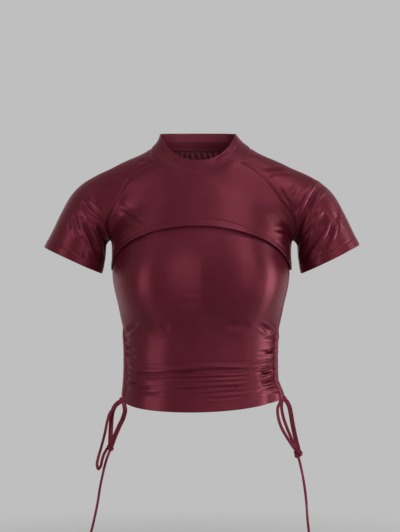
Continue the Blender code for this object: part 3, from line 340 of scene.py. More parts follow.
SLEEVE_RIGHT_FOLDS = fold_rows(1,
    (5, 3.8, (207.5, -58.8), (195.9, -68), (185.9, -78.8), (178.4, -93.8), (170.9, -110.5),
     (164.2, -125.5), (160.9, -142.2), (159.2, -160.5)),
    (-0.4, 3.6, (194.2, -63.8), (182.5, -73.8), (174.2, -87.2), (167.5, -102.2)),
    (1.6, 9, (190.9, -87.2), (182.5, -110.5), (170.9, -140.5), (165.9, -167.2)),
    (-1.7, 2.2, (194.2, -103.8), (184.2, -127.2), (172.5, -152.2), (167.5, -173.9)),
    (4, 3.6, (205.9, -100.5), (199.2, -123.9), (190.9, -148.9), (179.2, -170.5), (170.9, -190.5)),
    (-2.6, 2.8, (215.9, -108.8), (209.2, -130.5), (199.2, -152.2), (185.9, -177.2),
     (179.2, -190.5)),
    (2.6, 2.8, (224.2, -103.8), (219.2, -127.2), (209.2, -153.9), (199.2, -173.9)),
    (-1.4, 2, (224.2, -120.5), (219.2, -142.2), (212.5, -163.9)),
    (1.4, 1.8, (225.9, -90.5), (225.9, -117.2), (222.5, -150.5)),
    (1.8, 2.2, (100.9, -40.5), (122.5, -38), (147.5, -38)),
    (-1.2, 2.4, (104.2, -48.8), (125.9, -43.8), (152.5, -47.2)),
    (1.2, 3.4, (139.2, -83.8), (149.2, -73.8), (160.9, -65.5)),
    (1, 2.6, (169.2, -52.2), (187.5, -60.5)),
    (1.3, 2.4, (127.5, -63.8), (137.5, -80.5), (150.9, -100.5)),
    (2, 2.2, (165.9, -147.2), (162.5, -167.2), (164.2, -183.9)),
) + fold_rows(-1,
    (4, 3.4, (202.5, -67.2), (189.2, -80.5), (177.5, -98.8), (167.5, -122.2), (160.9, -147.2)),
    (-1.8, 3, (210.9, -87.2), (199.2, -107.2), (184.2, -133.9), (170.9, -162.2)),
    (3.4, 3.4, (215.9, -107.2), (200.9, -140.5), (184.2, -170.5)),
    (-1.6, 2.6, (225.9, -110.5), (214.2, -140.5), (200.9, -167.2)),
    (1.8, 2.6, (234.2, -123.9), (227.5, -153.9)),
    (1.4, 2.8, (117.5, -57.2), (144.2, -47.2)),
    (1.2, 3, (137.5, -83.8), (157.5, -70.5)))
SLEEVE_LEFT_FOLDS = fold_rows(1,
    (-2.2, 2.6, (-195.9, -78.8), (-185.9, -93.8), (-174.2, -108.8), (-165.9, -123.9)),
    (2.2, 3.4, (-200.9, -88.8), (-189.2, -105.5), (-175.9, -120.5)),
    (5.2, 3.2, (-175.9, -123.9), (-169.2, -138.9), (-162.5, -155.5), (-159.2, -173.9)),
    (3, 2.6, (-170.9, -147.2), (-165.9, -163.9), (-162.5, -183.9)),
    (3.8, 2.8, (-200.9, -117.2), (-192.5, -137.2), (-182.5, -158.9), (-172.5, -180.5)),
    (-2, 2.6, (-205.9, -110.5), (-199.2, -130.5), (-190.9, -153.9), (-184.2, -173.9)),
    (1.6, 2.4, (-214.2, -107.2), (-209.2, -132.2), (-202.5, -157.2)),
    (-1.4, 2.4, (-189.2, -123.9), (-180.9, -143.9), (-172.5, -163.9)),
    (1, 2.2, (-224.2, -110.5), (-220.9, -140.5)),
    (1.2, 2.6, (-105.9, -25.5), (-89.2, -21.3)),
    (1.2, 3, (-149.2, -47.2), (-129.2, -50.5), (-115.9, -43.8)),
    (1.2, 2.4, (-197.5, -168.9), (-195.9, -187.2)),
) + fold_rows(-1,
    (3.8, 3.4, (-202.5, -70.5), (-189.2, -85.5), (-177.5, -105.5), (-167.5, -128.9),
     (-162.5, -153.9)),
    (3.4, 3.4, (-214.2, -107.2), (-199.2, -140.5), (-182.5, -170.5)),
    (-1.8, 3, (-204.2, -100.5), (-189.2, -130.5), (-174.2, -158.9)),
    (1.8, 2.6, (-229.2, -123.9), (-222.5, -153.9)),
    (1.4, 2.8, (-119.2, -57.2), (-145.9, -47.2)))


def look_at(place, aim):
    return (Vector(aim) - Vector(place)).to_track_quat("-Z", "Y").to_euler()


def put_in_scene(name, data):
    """A new object that holds this data, linked to the scene."""
    holder = bpy.data.objects.new(name, data)
    bpy.context.collection.objects.link(holder)
    return holder


def make_camera():
    camera = put_in_scene("camera", bpy.data.cameras.new("camera"))
    camera.location = (CAMERA_SIDE, -CAMERA_DISTANCE, CAMERA_HEIGHT)
    camera.rotation_euler = look_at(camera.location, (CAMERA_SIDE, 0.0, CAMERA_HEIGHT))
    camera.data.sensor_width = SENSOR
    camera.data.lens = SENSOR * CAMERA_DISTANCE / VIEW_HEIGHT
    bpy.context.scene.camera = camera


# ---------------------------------------------------------------- small tools
def xyz(x, y, z):
    """Points or directions from their three parts, each an array or one number for all."""
    return np.stack(np.broadcast_arrays(x, y, z), axis=-1).astype(float)


def smooth_through(at, values, where):
    """Read values given at these places as a smooth curve at other places."""
    slope = np.gradient(values, at, axis=0)
    where = np.clip(where, at[0], at[-1])
    cell = np.clip(np.searchsorted(at, where, side="right") - 1, 0, len(at) - 2)
    spread = where.shape + (1,) * (values.ndim - 1)
    width = (at[cell + 1] - at[cell]).reshape(spread)
    t = (where - at[cell]).reshape(spread) / width
    return ((1 + 2 * t) * (1 - t) ** 2 * values[cell] + t * (1 - t) ** 2 * width * slope[cell]
            + t * t * (3 - 2 * t) * values[cell + 1] - t * t * (1 - t) * width * slope[cell + 1])


def smoothstep(low, high, value):
    t = np.clip((value - low) / (high - low), 0.0, 1.0)
    return t * t * (3 - 2 * t)


def soft_min(a, b, blend):
    h = np.clip(0.5 + 0.5 * (b - a) / blend, 0.0, 1.0)
    return b + (a - b) * h - blend * h * (1 - h)


def unit(vectors):
    return vectors / np.linalg.norm(vectors, axis=-1, keepdims=True)


def signed_power(values, power):
    return np.sign(values) * np.abs(values) ** power


def curve_through(points, count):
    """Even points along a smooth curve through the given ones."""
    points = np.asarray(points, float)
    length = np.concatenate(([0.0], np.cumsum(np.linalg.norm(np.diff(points, axis=0), axis=1))))
    return smooth_through(length, points, np.linspace(0.0, length[-1], count))


def along_line(places, along, line):
    """Points at distances along a line, whose own points lie at the distances "along"."""
    return np.stack([np.interp(places, along, line[:, k]) for k in range(3)], axis=-1)


# ---------------------------------------------------------------- the figure
TORSO_HEIGHTS, *TORSO_SIZES = (np.array(column) for column in zip(*TORSO))
NORMAL_STEP = 0.0015        # distance over which a field's slope is read for a normal
SETTLE_STEP = 0.0010        # and for moving points to the surface
MARCH_STEPS = 60            # first_hit walks its rays in this many steps
HALVINGS = 24               # and halves the last one this many times
TORSO_REACH = 0.19          # lengths of the rays that find the torso
NECK_REACH = 0.15           # the neck seam
ARM_REACH = 0.12            # the sleeves and the armpit
FACE_REACH = 0.16           # and the raglan seams


def torso_section(heights):
    """Half width, front depth and back depth of the torso."""
    return [smooth_through(TORSO_HEIGHTS, sizes, heights) for sizes in TORSO_SIZES]


def torso_field(p):
    """Distance outside (+) or inside (-) the oval sections of the torso and the bust."""
    x, y, z = p[..., 0], p[..., 1], p[..., 2]
    half_width, front, back = torso_section(z)
    depth = np.where(y < 0, front, back)
    oval = (np.abs(x / half_width) ** SQUARENESS + np.abs(y / depth) ** SQUARENESS)
    oval = np.maximum(oval, 1e-9) ** (1 / SQUARENESS)
    torso = np.hypot(x, y) * (1 - 1 / oval)
    bust = np.sqrt(((np.abs(x) - BUST["x"]) / BUST["width"]) ** 2
                   + ((y - BUST["y"]) / BUST["depth"]) ** 2
                   + ((z - BUST["z"]) / BUST["height"]) ** 2)
    return soft_min(torso, (bust - 1) * BUST["depth"], BUST["blend"])


def arm_stations(count):
    """Centres, directions and reaches along the shoulder and the sleeve."""
    rows = np.arange(len(ARM), dtype=float)
    where = np.linspace(0.0, len(ARM) - 1.0, count)
    edge_x, edge_z, slope, up, down, depth = (
        smooth_through(rows, np.array(column), where) for column in zip(*ARM))
    slope = np.radians(slope)
    along = xyz(np.cos(slope), 0.0, -np.sin(slope))
    outward = xyz(np.sin(slope), 0.0, np.cos(slope))
    centre = xyz(edge_x, 0.0, edge_z) - outward * (up + LAYER_GAP + CLOTH)[:, None]
    return centre, along, outward, up, down, depth


ARM_CHAIN = arm_stations(64)        # fine enough that its sections run together


def arm_field(p):
    """Distance outside (+) or inside (-) the shoulder and sleeve, on both sides."""
    centre, along, outward, up, down, depth = ARM_CHAIN
    q = np.concatenate((np.abs(p[..., :1]), p[..., 1:]), axis=-1)
    nearest = np.full(q.shape[:-1], 9.0)
    for i in range(len(centre)):
        w = q - centre[i]
        out = w @ outward[i]
        reach = np.where(out > 0, up[i], down[i])
        ball = np.sqrt((w @ along[i] / up[i]) ** 2 + (out / reach) ** 2
                       + (w[..., 1] / depth[i]) ** 2)
        nearest = np.minimum(nearest, (ball - 1) * up[i])
    return nearest


def figure_field(p):
    """The whole figure: torso and arms, blended."""
    blend = ARMPIT_BLEND + (SHOULDER_BLEND - ARMPIT_BLEND) * smoothstep(*BLEND_HEIGHTS,
                                                                        p[..., 2])
    return soft_min(torso_field(p), arm_field(p), blend)


def slope_of(field, p, step):
    """How steeply a field rises along each axis."""
    return np.stack([field(p + step * axis) - field(p - step * axis) for axis in np.eye(3)],
                    axis=-1) / (2 * step)


def normals(field, p):
    return unit(slope_of(field, p, NORMAL_STEP))


def settle(field, p, steps=8):
    """Move points straight onto the figure's surface."""
    for _ in range(steps):
        slope = slope_of(field, p, SETTLE_STEP)
        p = p - slope * (field(p) / np.maximum((slope ** 2).sum(-1), 1e-6))[..., None]
    return p


def first_hit(field, start, direction, reach):
    """Where rays that start inside the figure first come out of it."""
    low = np.zeros(start.shape[:-1])
    high = np.full(start.shape[:-1], reach)
    out = np.zeros(start.shape[:-1], bool)
    for distance in np.linspace(0.0, reach, MARCH_STEPS):
        outside = field(start + direction * distance) > 0
        high = np.where(outside & ~out, distance, high)
        out |= outside
        low = np.where(out, low, distance)
    for _ in range(HALVINGS):
        middle = (low + high) / 2
        outside = field(start + direction * middle[..., None]) > 0
        high = np.where(outside, middle, high)
        low = np.where(outside, low, middle)
    return start + direction * ((low + high) / 2)[..., None]


def torso_point(degrees, height):
    """The point at an angle round the torso: 0 is +X, 90 the front, 180 is -X, 270 the back."""
    angle, height = np.broadcast_arrays(np.radians(degrees), height)
    half_width, front, back = torso_section(height)
    depth = np.where(np.sin(angle) > 0, front, back)
    aim = unit(xyz(half_width * np.cos(angle), -depth * np.sin(angle), 0.0))
    return first_hit(torso_field, xyz(0.0, 0.0, height), aim, TORSO_REACH)


# ---------------------------------------------------------------- the seams
# Side-by-side pieces read the same points here. "side" is +1 or -1; points of the -X side
# are worked out on the +X side and mirrored.
def mirrored(points, side):
    return points * np.array((float(side), 1.0, 1.0))


def neck_height(degrees):
    """Height of the neck seam: level behind, with a round drop in front."""
    forward = np.sin(np.radians(degrees))
    drop = np.clip(forward, 0.0, 1.0) ** 1.5
    return np.where(forward > 0, NECK_SIDE + (NECK_FRONT - NECK_SIDE) * drop,
                    NECK_SIDE + (NECK_BACK - NECK_SIDE) * -forward)


def neck_point(degrees):
    """Points of the neck seam, at angles round the neck's axis (90 is the front)."""
    turn = np.radians(np.asarray(degrees, float))
    start = xyz(COLLAR_SHIFT, 0.0, neck_height(degrees))
    return first_hit(figure_field, start, xyz(np.cos(turn), -np.sin(turn), 0.0), NECK_REACH)


def neck_span(first, last, steps):
    return neck_point(np.linspace(first, last, steps + 1))


def armpit():
    """The point of the armpit, straight below the shoulder."""
    start = np.array(((ARMPIT_X, ARMPIT_Y, -0.10),))
    return first_hit(figure_field, start, np.array(((0.0, 0.0, -1.0),)), ARM_REACH)[0]


ARMPIT_POINT = armpit()


def raglan_seam(side, face):
    """A raglan seam from the neck to the armpit; face is +1 in front and -1 behind."""
    start = RAGLAN_ANGLE * face if side > 0 else 180.0 - RAGLAN_ANGLE * face
    neck = mirrored(neck_point([start]), side)
    x, z = np.array(RAGLAN_FRONT if face > 0 else RAGLAN_BACK).T
    flat = xyz(x + side * SEAM_LEAN * smoothstep(*LEAN_HEIGHTS, z), 0.0, z)
    aim = np.broadcast_to((0.0, -float(face), 0.0), flat.shape)
    whole = np.concatenate((neck, first_hit(figure_field, flat, aim, FACE_REACH),
                            [ARMPIT_POINT]))
    seam = settle(figure_field, curve_through(whole, RAGLAN_STEPS + 1))
    seam[0], seam[-1] = neck[0], ARMPIT_POINT
    return mirrored(seam, side)


def side_seam(side, foot):
    """The upper layer's side seam, from the armpit down to a height."""
    fraction = np.linspace(0.0, 1.0, SIDE_STEPS + 1)
    height = ARMPIT_POINT[2] + (foot - ARMPIT_POINT[2]) * fraction
    angle = SEAM_FORWARD * smoothstep(0.0, 0.8, fraction)
    seam = torso_point(angle, height)
    seam = seam + (ARMPIT_POINT - seam[0]) * ((1 - fraction) ** 2)[:, None]
    seam = settle(figure_field, seam)
    seam[0] = ARMPIT_POINT
    return mirrored(seam, side)


def hem_curve(first, last, rise, power, fullness, lean):
    """The upper layer's hem between two angles, as an arch over the torso."""
    angle = np.linspace(first, last, PANEL_COLUMNS + 1)
    across = np.cos(np.radians(angle))
    edge = math.cos(math.radians(SEAM_FORWARD))
    across = np.clip(np.abs(across + lean * np.sin(np.radians(angle))) / edge, 0.0, 1.0)
    height = ARCH_SIDE + rise * (1 - across ** power) ** fullness
    return settle(figure_field, torso_point(angle, height))


def patch(top, bottom, left, right):
    """Fill four meeting edges with an even grid that lies on the figure."""
    down = np.linspace(0.0, 1.0, len(left))[:, None, None]
    over = np.linspace(0.0, 1.0, len(top))[None, :, None]
    corners = ((1 - down) * ((1 - over) * top[0] + over * top[-1])
               + down * ((1 - over) * bottom[0] + over * bottom[-1]))
    grid = ((1 - down) * top[None] + down * bottom[None]
            + (1 - over) * left[:, None] + over * right[:, None] - corners)
    for _ in range(EVEN_ROUNDS):
        middle = (grid[:-2, 1:-1] + grid[2:, 1:-1] + grid[1:-1, :-2] + grid[1:-1, 2:]) / 4
        grid[1:-1, 1:-1] = settle(figure_field, middle, 1)
    grid[1:-1, 1:-1] = settle(figure_field, grid[1:-1, 1:-1])
    return grid


def sleeve_grid(side):
    """Points of a raglan sleeve, from the collar to the sleeve's hem, open at the underarm."""
    rows = RAGLAN_STEPS + UNDERARM_STEPS
    station = np.concatenate((
        np.linspace(0.0, ARMPIT_STATION, RAGLAN_STEPS + 1),
        np.linspace(ARMPIT_STATION, CUFF_STATION, UNDERARM_STEPS + 1)[1:]))
    index = station / (len(ARM) - 1) * (len(ARM_CHAIN[0]) - 1)
    low = index.astype(int)
    part = (index - low)[:, None]
    centre, along, outward = (chain[low] * (1 - part) + chain[low + 1] * part
                              for chain in ARM_CHAIN[:3])
    front = mirrored(raglan_seam(side, 1), side)
    back = mirrored(raglan_seam(side, -1), side)
    over = np.linspace(-1.0, 1.0, SLEEVE_COLUMNS + 1)
    neck_angles = np.linspace(RAGLAN_ANGLE, -RAGLAN_ANGLE, SLEEVE_COLUMNS + 1)
    neck = neck_point(neck_angles if side > 0 else 180.0 - neck_angles)
    grid = np.zeros((rows + 1, SLEEVE_COLUMNS + 1, 3))
    lead = (mirrored(neck, side) - centre[0]) @ along[0]
    for row in range(rows + 1):
        last = min(row, RAGLAN_STEPS)
        arms = [edge[last] - centre[row] for edge in (front, back)]
        shift = [arm @ along[row] for arm in arms]
        turn = [abs(math.atan2(arm[1], arm @ outward[row])) for arm in arms]
        if row >= RAGLAN_STEPS:
            turn = [math.pi, math.pi]
        if row > RAGLAN_STEPS:
            shift = [0.0, 0.0]
        start_fade = (1 - row / rows) ** 4
        ahead = np.where(over < 0, shift[0], shift[1]) * over ** 2
        plain = np.where(over < 0, (front[0] - centre[0]) @ along[0],
                         (back[0] - centre[0]) @ along[0]) * over ** 2
        ahead = ahead + (lead - plain) * start_fade
        angle = np.where(over < 0, turn[0], turn[1]) * over
        if side < 0 and row > RAGLAN_STEPS:
            reach = (row - RAGLAN_STEPS) / UNDERARM_STEPS
            ahead = ahead + LEFT_CUFF_DROP * reach * (1 + np.cos(angle)) / 2
        aim = (np.cos(angle)[:, None] * outward[row]
               + np.sin(angle)[:, None] * np.array((0.0, 1.0, 0.0)))
        start = centre[row] + ahead[:, None] * along[row]
        grid[row] = first_hit(figure_field, start, aim, ARM_REACH)
        if row <= RAGLAN_STEPS:
            grid[row, 0], grid[row, -1] = front[row], back[row]
    grid[0] = mirrored(neck, side)
    return mirrored(grid, side)


def swayed(points):
    """Shift the shoulders and the sleeves a little to the right."""
    shift = SHOULDER_SHIFT * smoothstep(*SWAY_WIDTHS, np.abs(points[..., 0]))
    shift = shift * smoothstep(*SWAY_HEIGHTS, points[..., 2])
    return points + shift[..., None] * np.array((1.0, 0.0, 0.0))


# ---------------------------------------------------------------- finer grids
def finer(values, factor, axis=0):
    """A grid with this many steps for each one of the given grid, on smooth curves."""
    values = np.moveaxis(values, axis, 0)
    last = len(values) - 1
    where = np.linspace(0.0, last, last * factor + 1)
    return np.moveaxis(smooth_through(np.arange(last + 1.0), values, where), 0, axis)


def run_length(grid, axis):
    """Distance along the grid's lines from their first points."""
    step = np.linalg.norm(np.diff(grid, axis=axis), axis=-1)
    start = np.zeros_like(np.take(step, [0], axis=axis))
    return np.cumsum(np.concatenate((start, step), axis=axis), axis=axis)


def edge_rows(grid, near_end, near_start):
    """Place the rows anew: at set distances from the last row and the first, even between."""
    out = []
    for column, along in enumerate(run_length(grid, 0).T):
        end = along[-1] - np.array(near_end)[::-1]
        middle = np.linspace(near_start[-1], end[0], len(grid) + 1)[1:-1]
        place = np.concatenate((near_start, middle, end))
        out.append(along_line(place, along, grid[:, column]))
    return np.stack(out, axis=1)


def edge_distance(grid, edges):
    """Distance of each point from the nearest of the named edges: top, bottom, left, right."""
    down = run_length(grid, 0)
    over = run_length(grid, 1)
    found = {"top": down, "bottom": down[-1:] - down, "left": over, "right": over[:, -1:] - over}
    return np.min([found[edge] for edge in edges], axis=0)


# ---------------------------------------------------------------- relief
FOLD_FADE = 0.016           # a fold fades in and out over this length
FOLD_FADE_SHARE = 0.35      # and at most over this share of it
FOLD_FOOT = 0.3             # how round the foot of a fold is
FOLD_SHOULDER = 0.38        # height of the low shoulders beside it, as a share of its depth
FOLD_SHOULDER_AT = 2.3      # and their distance, in half widths
FACING = 0.22               # folds end where the cloth turns this far from facing their side
UNEVEN = 0.0004             # depth of the cloth's slow unevenness


def furrow(flat, line, half_width):
    """How deep inside a soft furrow each point lies, with low shoulders beside it."""
    route = curve_through(line, 8 * len(line))
    run = np.diff(route, axis=0)
    size = (run ** 2).sum(-1)
    total = np.sqrt(size).sum()
    nearest = np.full(flat.shape[:-1], 9.0)
    along = np.zeros(flat.shape[:-1])
    gone = 0.0
    for start, step, square in zip(route[:-1], run, size):
        t = np.clip((flat - start) @ step / square, 0.0, 1.0)
        away = np.linalg.norm(flat - start - t[..., None] * step, axis=-1)
        closer = away < nearest
        nearest = np.where(closer, away, nearest)
        along = np.where(closer, (gone + t * math.sqrt(square)) / total, along)
        gone += math.sqrt(square)
    fade = min(FOLD_FADE_SHARE, FOLD_FADE / total)
    ends = smoothstep(0.0, fade, along) * smoothstep(0.0, fade, 1 - along)
    u = nearest / half_width
    valley = np.exp(-1.5 * (np.sqrt(u ** 2 + FOLD_FOOT) - math.sqrt(FOLD_FOOT)))
    return ends * (valley - FOLD_SHOULDER * np.exp(-(u - FOLD_SHOULDER_AT) ** 2))


def folded(points, normal, folds):
    """How far each point moves in because of the folds in a table."""
    depth = np.zeros(points.shape[:-1])
    flat = points[..., (0, 2)]
    for fold in folds:
        facing = smoothstep(0.0, FACING, -fold.face * normal[..., 1])
        depth += fold.depth * facing * furrow(flat, fold.line, fold.half_width)
    return depth


def waviness(points, size, seed):
    """A smooth, slow unevenness from a few crossed waves."""
    draw = np.random.default_rng(seed)
    total = np.zeros(points.shape[:-1])
    for _ in range(7):
        aim = draw.normal(size=3)
        aim = aim / np.linalg.norm(aim) * draw.uniform(0.7, 1.5) * 2 * math.pi / size
        total += np.sin(points @ aim + draw.uniform(0.0, 2 * math.pi))
    return total / 7


def groove(distance, at, half_width):
    return np.exp(-((distance - at) / half_width) ** 2)


def crease(u, shoulder):
    """The section of a fine fold, u half widths from its middle, with shoulders beside it."""
    return np.exp(-u ** 1.5) - shoulder * groove(u, 2.0, 0.9)


def seam_turn(distance):
    """How far a panel sinks towards its seam, at a distance from it."""
    return SEAM_SINK * np.exp(-(distance / SEAM_REACH) ** 1.6)


# ---------------------------------------------------------------- walls
def rim_rows(outer, inner, steps=3):
    """Rows that round off the edge between the last row of the outer side and the inner."""
    middle = (outer[-1] + inner[-1]) / 2
    radius = (outer[-1] - inner[-1]) / 2
    down = unit(outer[-1] - outer[-2]) * np.linalg.norm(radius, axis=-1, keepdims=True)
    turns = np.linspace(0.0, math.pi, steps + 2)[1:-1]
    return [middle + radius * math.cos(turn) + down * math.sin(turn) for turn in turns]


def shell(name, outer, normal, thickness, looks, ring=False):
    """A closed thin wall of cloth from its outer grid, rounded along its last row.

    The looks are of its right side and its wrong side. A ring closes on itself, and is
    rounded along its first row too.
    """
    inner = outer - normal * np.broadcast_to(thickness, outer.shape[:-1])[..., None]
    down = run_length(outer, 0)
    over = run_length(outer, 1)
    over = over - over[:, over.shape[1] // 2:over.shape[1] // 2 + 1]
    cut = xyz(over, down, 0.0)
    rim = rim_rows(outer, inner)
    sheet = np.concatenate((outer, rim, inner[::-1]))
    cuts = np.concatenate((cut, np.repeat(cut[-1:], len(rim), axis=0), cut[::-1]))
    if ring:
        top = rim_rows(inner[::-1], outer[::-1])
        sheet = np.concatenate((sheet, top))
        cuts = np.concatenate((cuts, np.repeat(cut[:1], len(top), axis=0)))
    grid = np.arange(sheet[..., 0].size).reshape(sheet.shape[:2])
    following = np.roll(grid, -1, axis=0)
    quads = np.stack((grid, following, np.roll(following, -1, axis=1),
                      np.roll(grid, -1, axis=1)), axis=-1)
    if not ring:
        quads = quads[:, :-1]
    kinds = np.zeros(quads.shape[:2], dtype=np.int32)
    edge = len(outer) + len(rim)
    kinds[edge:edge + len(outer) - 1] = 1
    faces = quads.reshape(-1, 4).tolist()
    if not ring:
        last = edge + len(outer) - 1
        for side, flip in ((grid[:, 0].tolist(), 1), (grid[:, -1].tolist(), -1)):
            for row in range(len(outer) - 1):
                quad = (side[row], side[last - row], side[last - row - 1], side[row + 1])
                faces.append(quad[::flip])
            faces.append(side[len(outer) - 1:edge + 1][::-flip])
    return make_piece(name, sheet, faces, looks, cuts, kinds.reshape(-1))


def make_piece(name, points, faces, looks, cuts=None, kinds=()):
    """A smooth piece from points and faces.

    "cuts" places each point on the flat cloth, for the knit, and "kinds" says for the first
    faces which of the looks they have.
    """
    mesh = bpy.data.meshes.new(name)
    mesh.from_pydata(np.reshape(points, (-1, 3)).tolist(), [], faces)
    if cuts is not None:
        layer = mesh.attributes.new("cut", "FLOAT_VECTOR", "POINT")
        layer.data.foreach_set("vector", cuts.reshape(-1).astype(np.float32))
    all_kinds = np.zeros(len(mesh.polygons), dtype=np.int32)
    all_kinds[:len(kinds)] = kinds
    mesh.polygons.foreach_set("material_index", all_kinds)
    bm = bmesh.new()
    bm.from_mesh(mesh)
    bmesh.ops.recalc_face_normals(bm, faces=bm.faces[:])
    bm.to_mesh(mesh)
    bm.free()
    mesh.shade_smooth()
    mesh.set_sharp_from_angle(angle=math.radians(70))
    for material in looks:
        mesh.materials.append(material)
    return put_in_scene(name, mesh)


def stitches(name, rows, material):
    """Rows of short raised stitches. Each row is a line of points with their normals."""
    points, faces = [], []
    for line, normal in rows:
        along = run_length(line[:, None], 0)[:, 0]
        for start in np.arange(STITCH_PITCH / 2, along[-1] - STITCH, STITCH_PITCH):
            ends = [start, start + STITCH * 0.2, start + STITCH * 0.8, start + STITCH]
            place = along_line(ends, along, line)
            up = unit(along_line(ends, along, normal))
            side = unit(np.cross(place[-1] - place[0], up[0])) * STITCH_WIDTH
            first = len(points)
            points.append(place[0] - up[0] * STITCH_WIDTH * 0.5)
            for k in (1, 2):
                lift = up[k] * STITCH_WIDTH * 0.75
                points.extend((place[k] + side, place[k] + lift, place[k] - side,
                               place[k] - lift))
            points.append(place[3] - up[3] * STITCH_WIDTH * 0.5)
            for k in range(4):
                after = (k + 1) % 4
                faces.append((first, first + 1 + k, first + 1 + after))
                faces.append((first + 1 + k, first + 5 + k, first + 5 + after,
                              first + 1 + after))
                faces.append((first + 9, first + 5 + after, first + 5 + k))
    return make_piece(name, points, faces, (material,))


def line_at(grid, normal, distance):
    """The line on a grid that runs this far above its last row, raised a little."""
    length = run_length(grid, 0).T
    line, up = (np.array([along_line(along[-1] - distance, along, values[:, column])
                          for column, along in enumerate(length)])
                for values in (grid, normal))
    up = unit(up)
    return line + up * STITCH_LIFT, up


def sewn_sheet(name, outer, normal, thickness, rows, looks):
    """A wall of cloth with its rows of stitches. The looks are right side, wrong side, thread."""
    sewn = stitches(name + "_stitches", rows, looks[2])
    return shell(name, outer, normal, thickness, looks[:2]), sewn


# ---------------------------------------------------------------- pieces of cloth
HEM_ROWS = (0.0, 0.0005, 0.0012, 0.0022, 0.0036, 0.0055, 0.0075, 0.0095, 0.0110, 0.0120,
            0.0126, 0.0130, 0.0134, 0.0140, 0.0150, 0.0170, 0.0195)
SEAM_ROWS = (0.0, 0.0007, 0.0016, 0.0028, 0.0045)
UPPER_ROWS = 9              # fine rows for each row of a first grid
YOKE_COLUMNS = 9            # and fine columns for each column of a yoke's
SLEEVE_FINE_COLUMNS = 12    # and of a sleeve's
YOKE_FADE = 0.010           # the relief fades over this distance from a yoke's seams
SLEEVE_FADE = 0.008         # and from a sleeve's
YOKE_WAVE = 0.075           # sizes of the slow unevenness
SLEEVE_WAVE = 0.070
HEM_DENT = 0.0007           # depth and half width of the dent along a hem's stitches
HEM_STITCHES = (-0.0008, 0.0022)    # the two rows of stitches, from the hem's allowance


def upper_piece(name, coarse, columns, folds, fade_over, waves, looks, stand_off=0.0):
    """A piece of the upper layer from its first grid: relief, stitched hem and wall.

    The relief fades towards the seams over a distance. "waves" is the size and the seed of the
    slow unevenness, and the middle of the hem stands off the layer below.
    """
    grid = settle(figure_field, finer(finer(coarse, UPPER_ROWS), columns, 1), 3)
    grid = edge_rows(grid, HEM_ROWS, SEAM_ROWS)
    normal = normals(figure_field, grid)
    down = run_length(grid, 0)
    down = down / down[-1:]
    over = np.linspace(0.0, 1.0, grid.shape[1])[None, :]
    seams = edge_distance(grid, ("top", "left", "right"))
    hems = edge_distance(grid, ("bottom",))
    fade = smoothstep(0.0, fade_over, seams)
    lift = LAYER_GAP + CLOTH + stand_off * down ** 4 * np.sin(math.pi * over)
    lift = lift - seam_turn(seams) + hem_relief(hems) - fade * folded(grid, normal, folds)
    lift = lift + fade * UNEVEN * waviness(grid, *waves)
    outer = swayed(grid + normal * lift[..., None])
    rows = [line_at(outer, normal, HEM_ALLOWANCE + shift) for shift in HEM_STITCHES]
    thickness = CLOTH + CLOTH * 0.9 * smoothstep(HEM_ALLOWANCE, HEM_ALLOWANCE - 0.002, hems)
    return sewn_sheet(name, outer, normal, thickness, rows, looks)


def hem_relief(distance):
    """The turned-up hem stands a little proud, down from a dented stitch line."""
    puff = HEM_PUFF * smoothstep(HEM_ALLOWANCE + 0.0008, HEM_ALLOWANCE - 0.0012, distance)
    return puff - HEM_DENT * groove(distance, HEM_ALLOWANCE, HEM_DENT)


def yoke(name, face, looks):
    """The front (+1) or back (-1) panel between the raglan seams, with its arched hem."""
    if face > 0:
        top = neck_span(180.0 - RAGLAN_ANGLE, RAGLAN_ANGLE, PANEL_COLUMNS)
        hem = hem_curve(180.0 - SEAM_FORWARD, SEAM_FORWARD, ARCH_RISE, ARCH_POWER,
                        ARCH_FULLNESS, ARCH_LEAN)
    else:
        top = neck_span(360.0 - RAGLAN_ANGLE, 180.0 + RAGLAN_ANGLE, PANEL_COLUMNS)
        hem = hem_curve(360.0 + SEAM_FORWARD, 180.0 - SEAM_FORWARD, BACK_HEM_RISE, ARCH_POWER,
                        ARCH_FULLNESS, 0.0)
    edges = [np.concatenate((raglan_seam(side, face), side_seam(side, ARCH_SIDE)[1:]))
             for side in (-face, face)]
    hem[0], hem[-1] = edges[0][-1], edges[1][-1]
    return upper_piece(name, patch(top, hem, *edges), YOKE_COLUMNS, YOKE_FOLDS, YOKE_FADE,
                       (YOKE_WAVE, 3 + face), looks, ARCH_STAND_OFF)


def sleeve(name, side, folds, looks):
    """A raglan sleeve, with its seams in front, behind and under the arm."""
    return upper_piece(name, sleeve_grid(side), SLEEVE_FINE_COLUMNS, folds, SLEEVE_FADE,
                       (SLEEVE_WAVE, 7 + side), looks)


# Lines pressed into the collar, each at a height share, between two angles round the neck
CollarLine = namedtuple("CollarLine", "share first last depth half_width")
COLLAR_LINES = (
    CollarLine(0.34, 10.0, 66.0, 0.0010, 0.036),
    CollarLine(0.50, 24.0, 78.0, 0.0013, 0.034),
    CollarLine(0.64, 12.0, 60.0, 0.0012, 0.032),
    CollarLine(0.80, 20.0, 52.0, 0.0010, 0.032),
    CollarLine(0.43, 20.0, 72.0, -0.0013, 0.075),
    CollarLine(0.73, 14.0, 66.0, -0.0022, 0.110),
    CollarLine(0.34, 118.0, 166.0, 0.0008, 0.040),
    CollarLine(0.56, 112.0, 160.0, 0.0010, 0.036),
    CollarLine(0.50, 205.0, 330.0, 0.0004, 0.090),
)
COLLAR_WALL = 0.0020
COLLAR_ROWS = 40
COLLAR_STEP = 1.25          # degrees from one column of the collar to the next
LINE_FADE = 12              # a line fades in and out over these degrees
COLLAR_WAVES = (0.045, 21)  # size and seed of its slow unevenness
COLLAR_UNEVEN = 0.0005      # and the depth of it
COLLAR_STITCHES = (0.0035, 0.0070)      # its two rows of stitches, above the neck seam


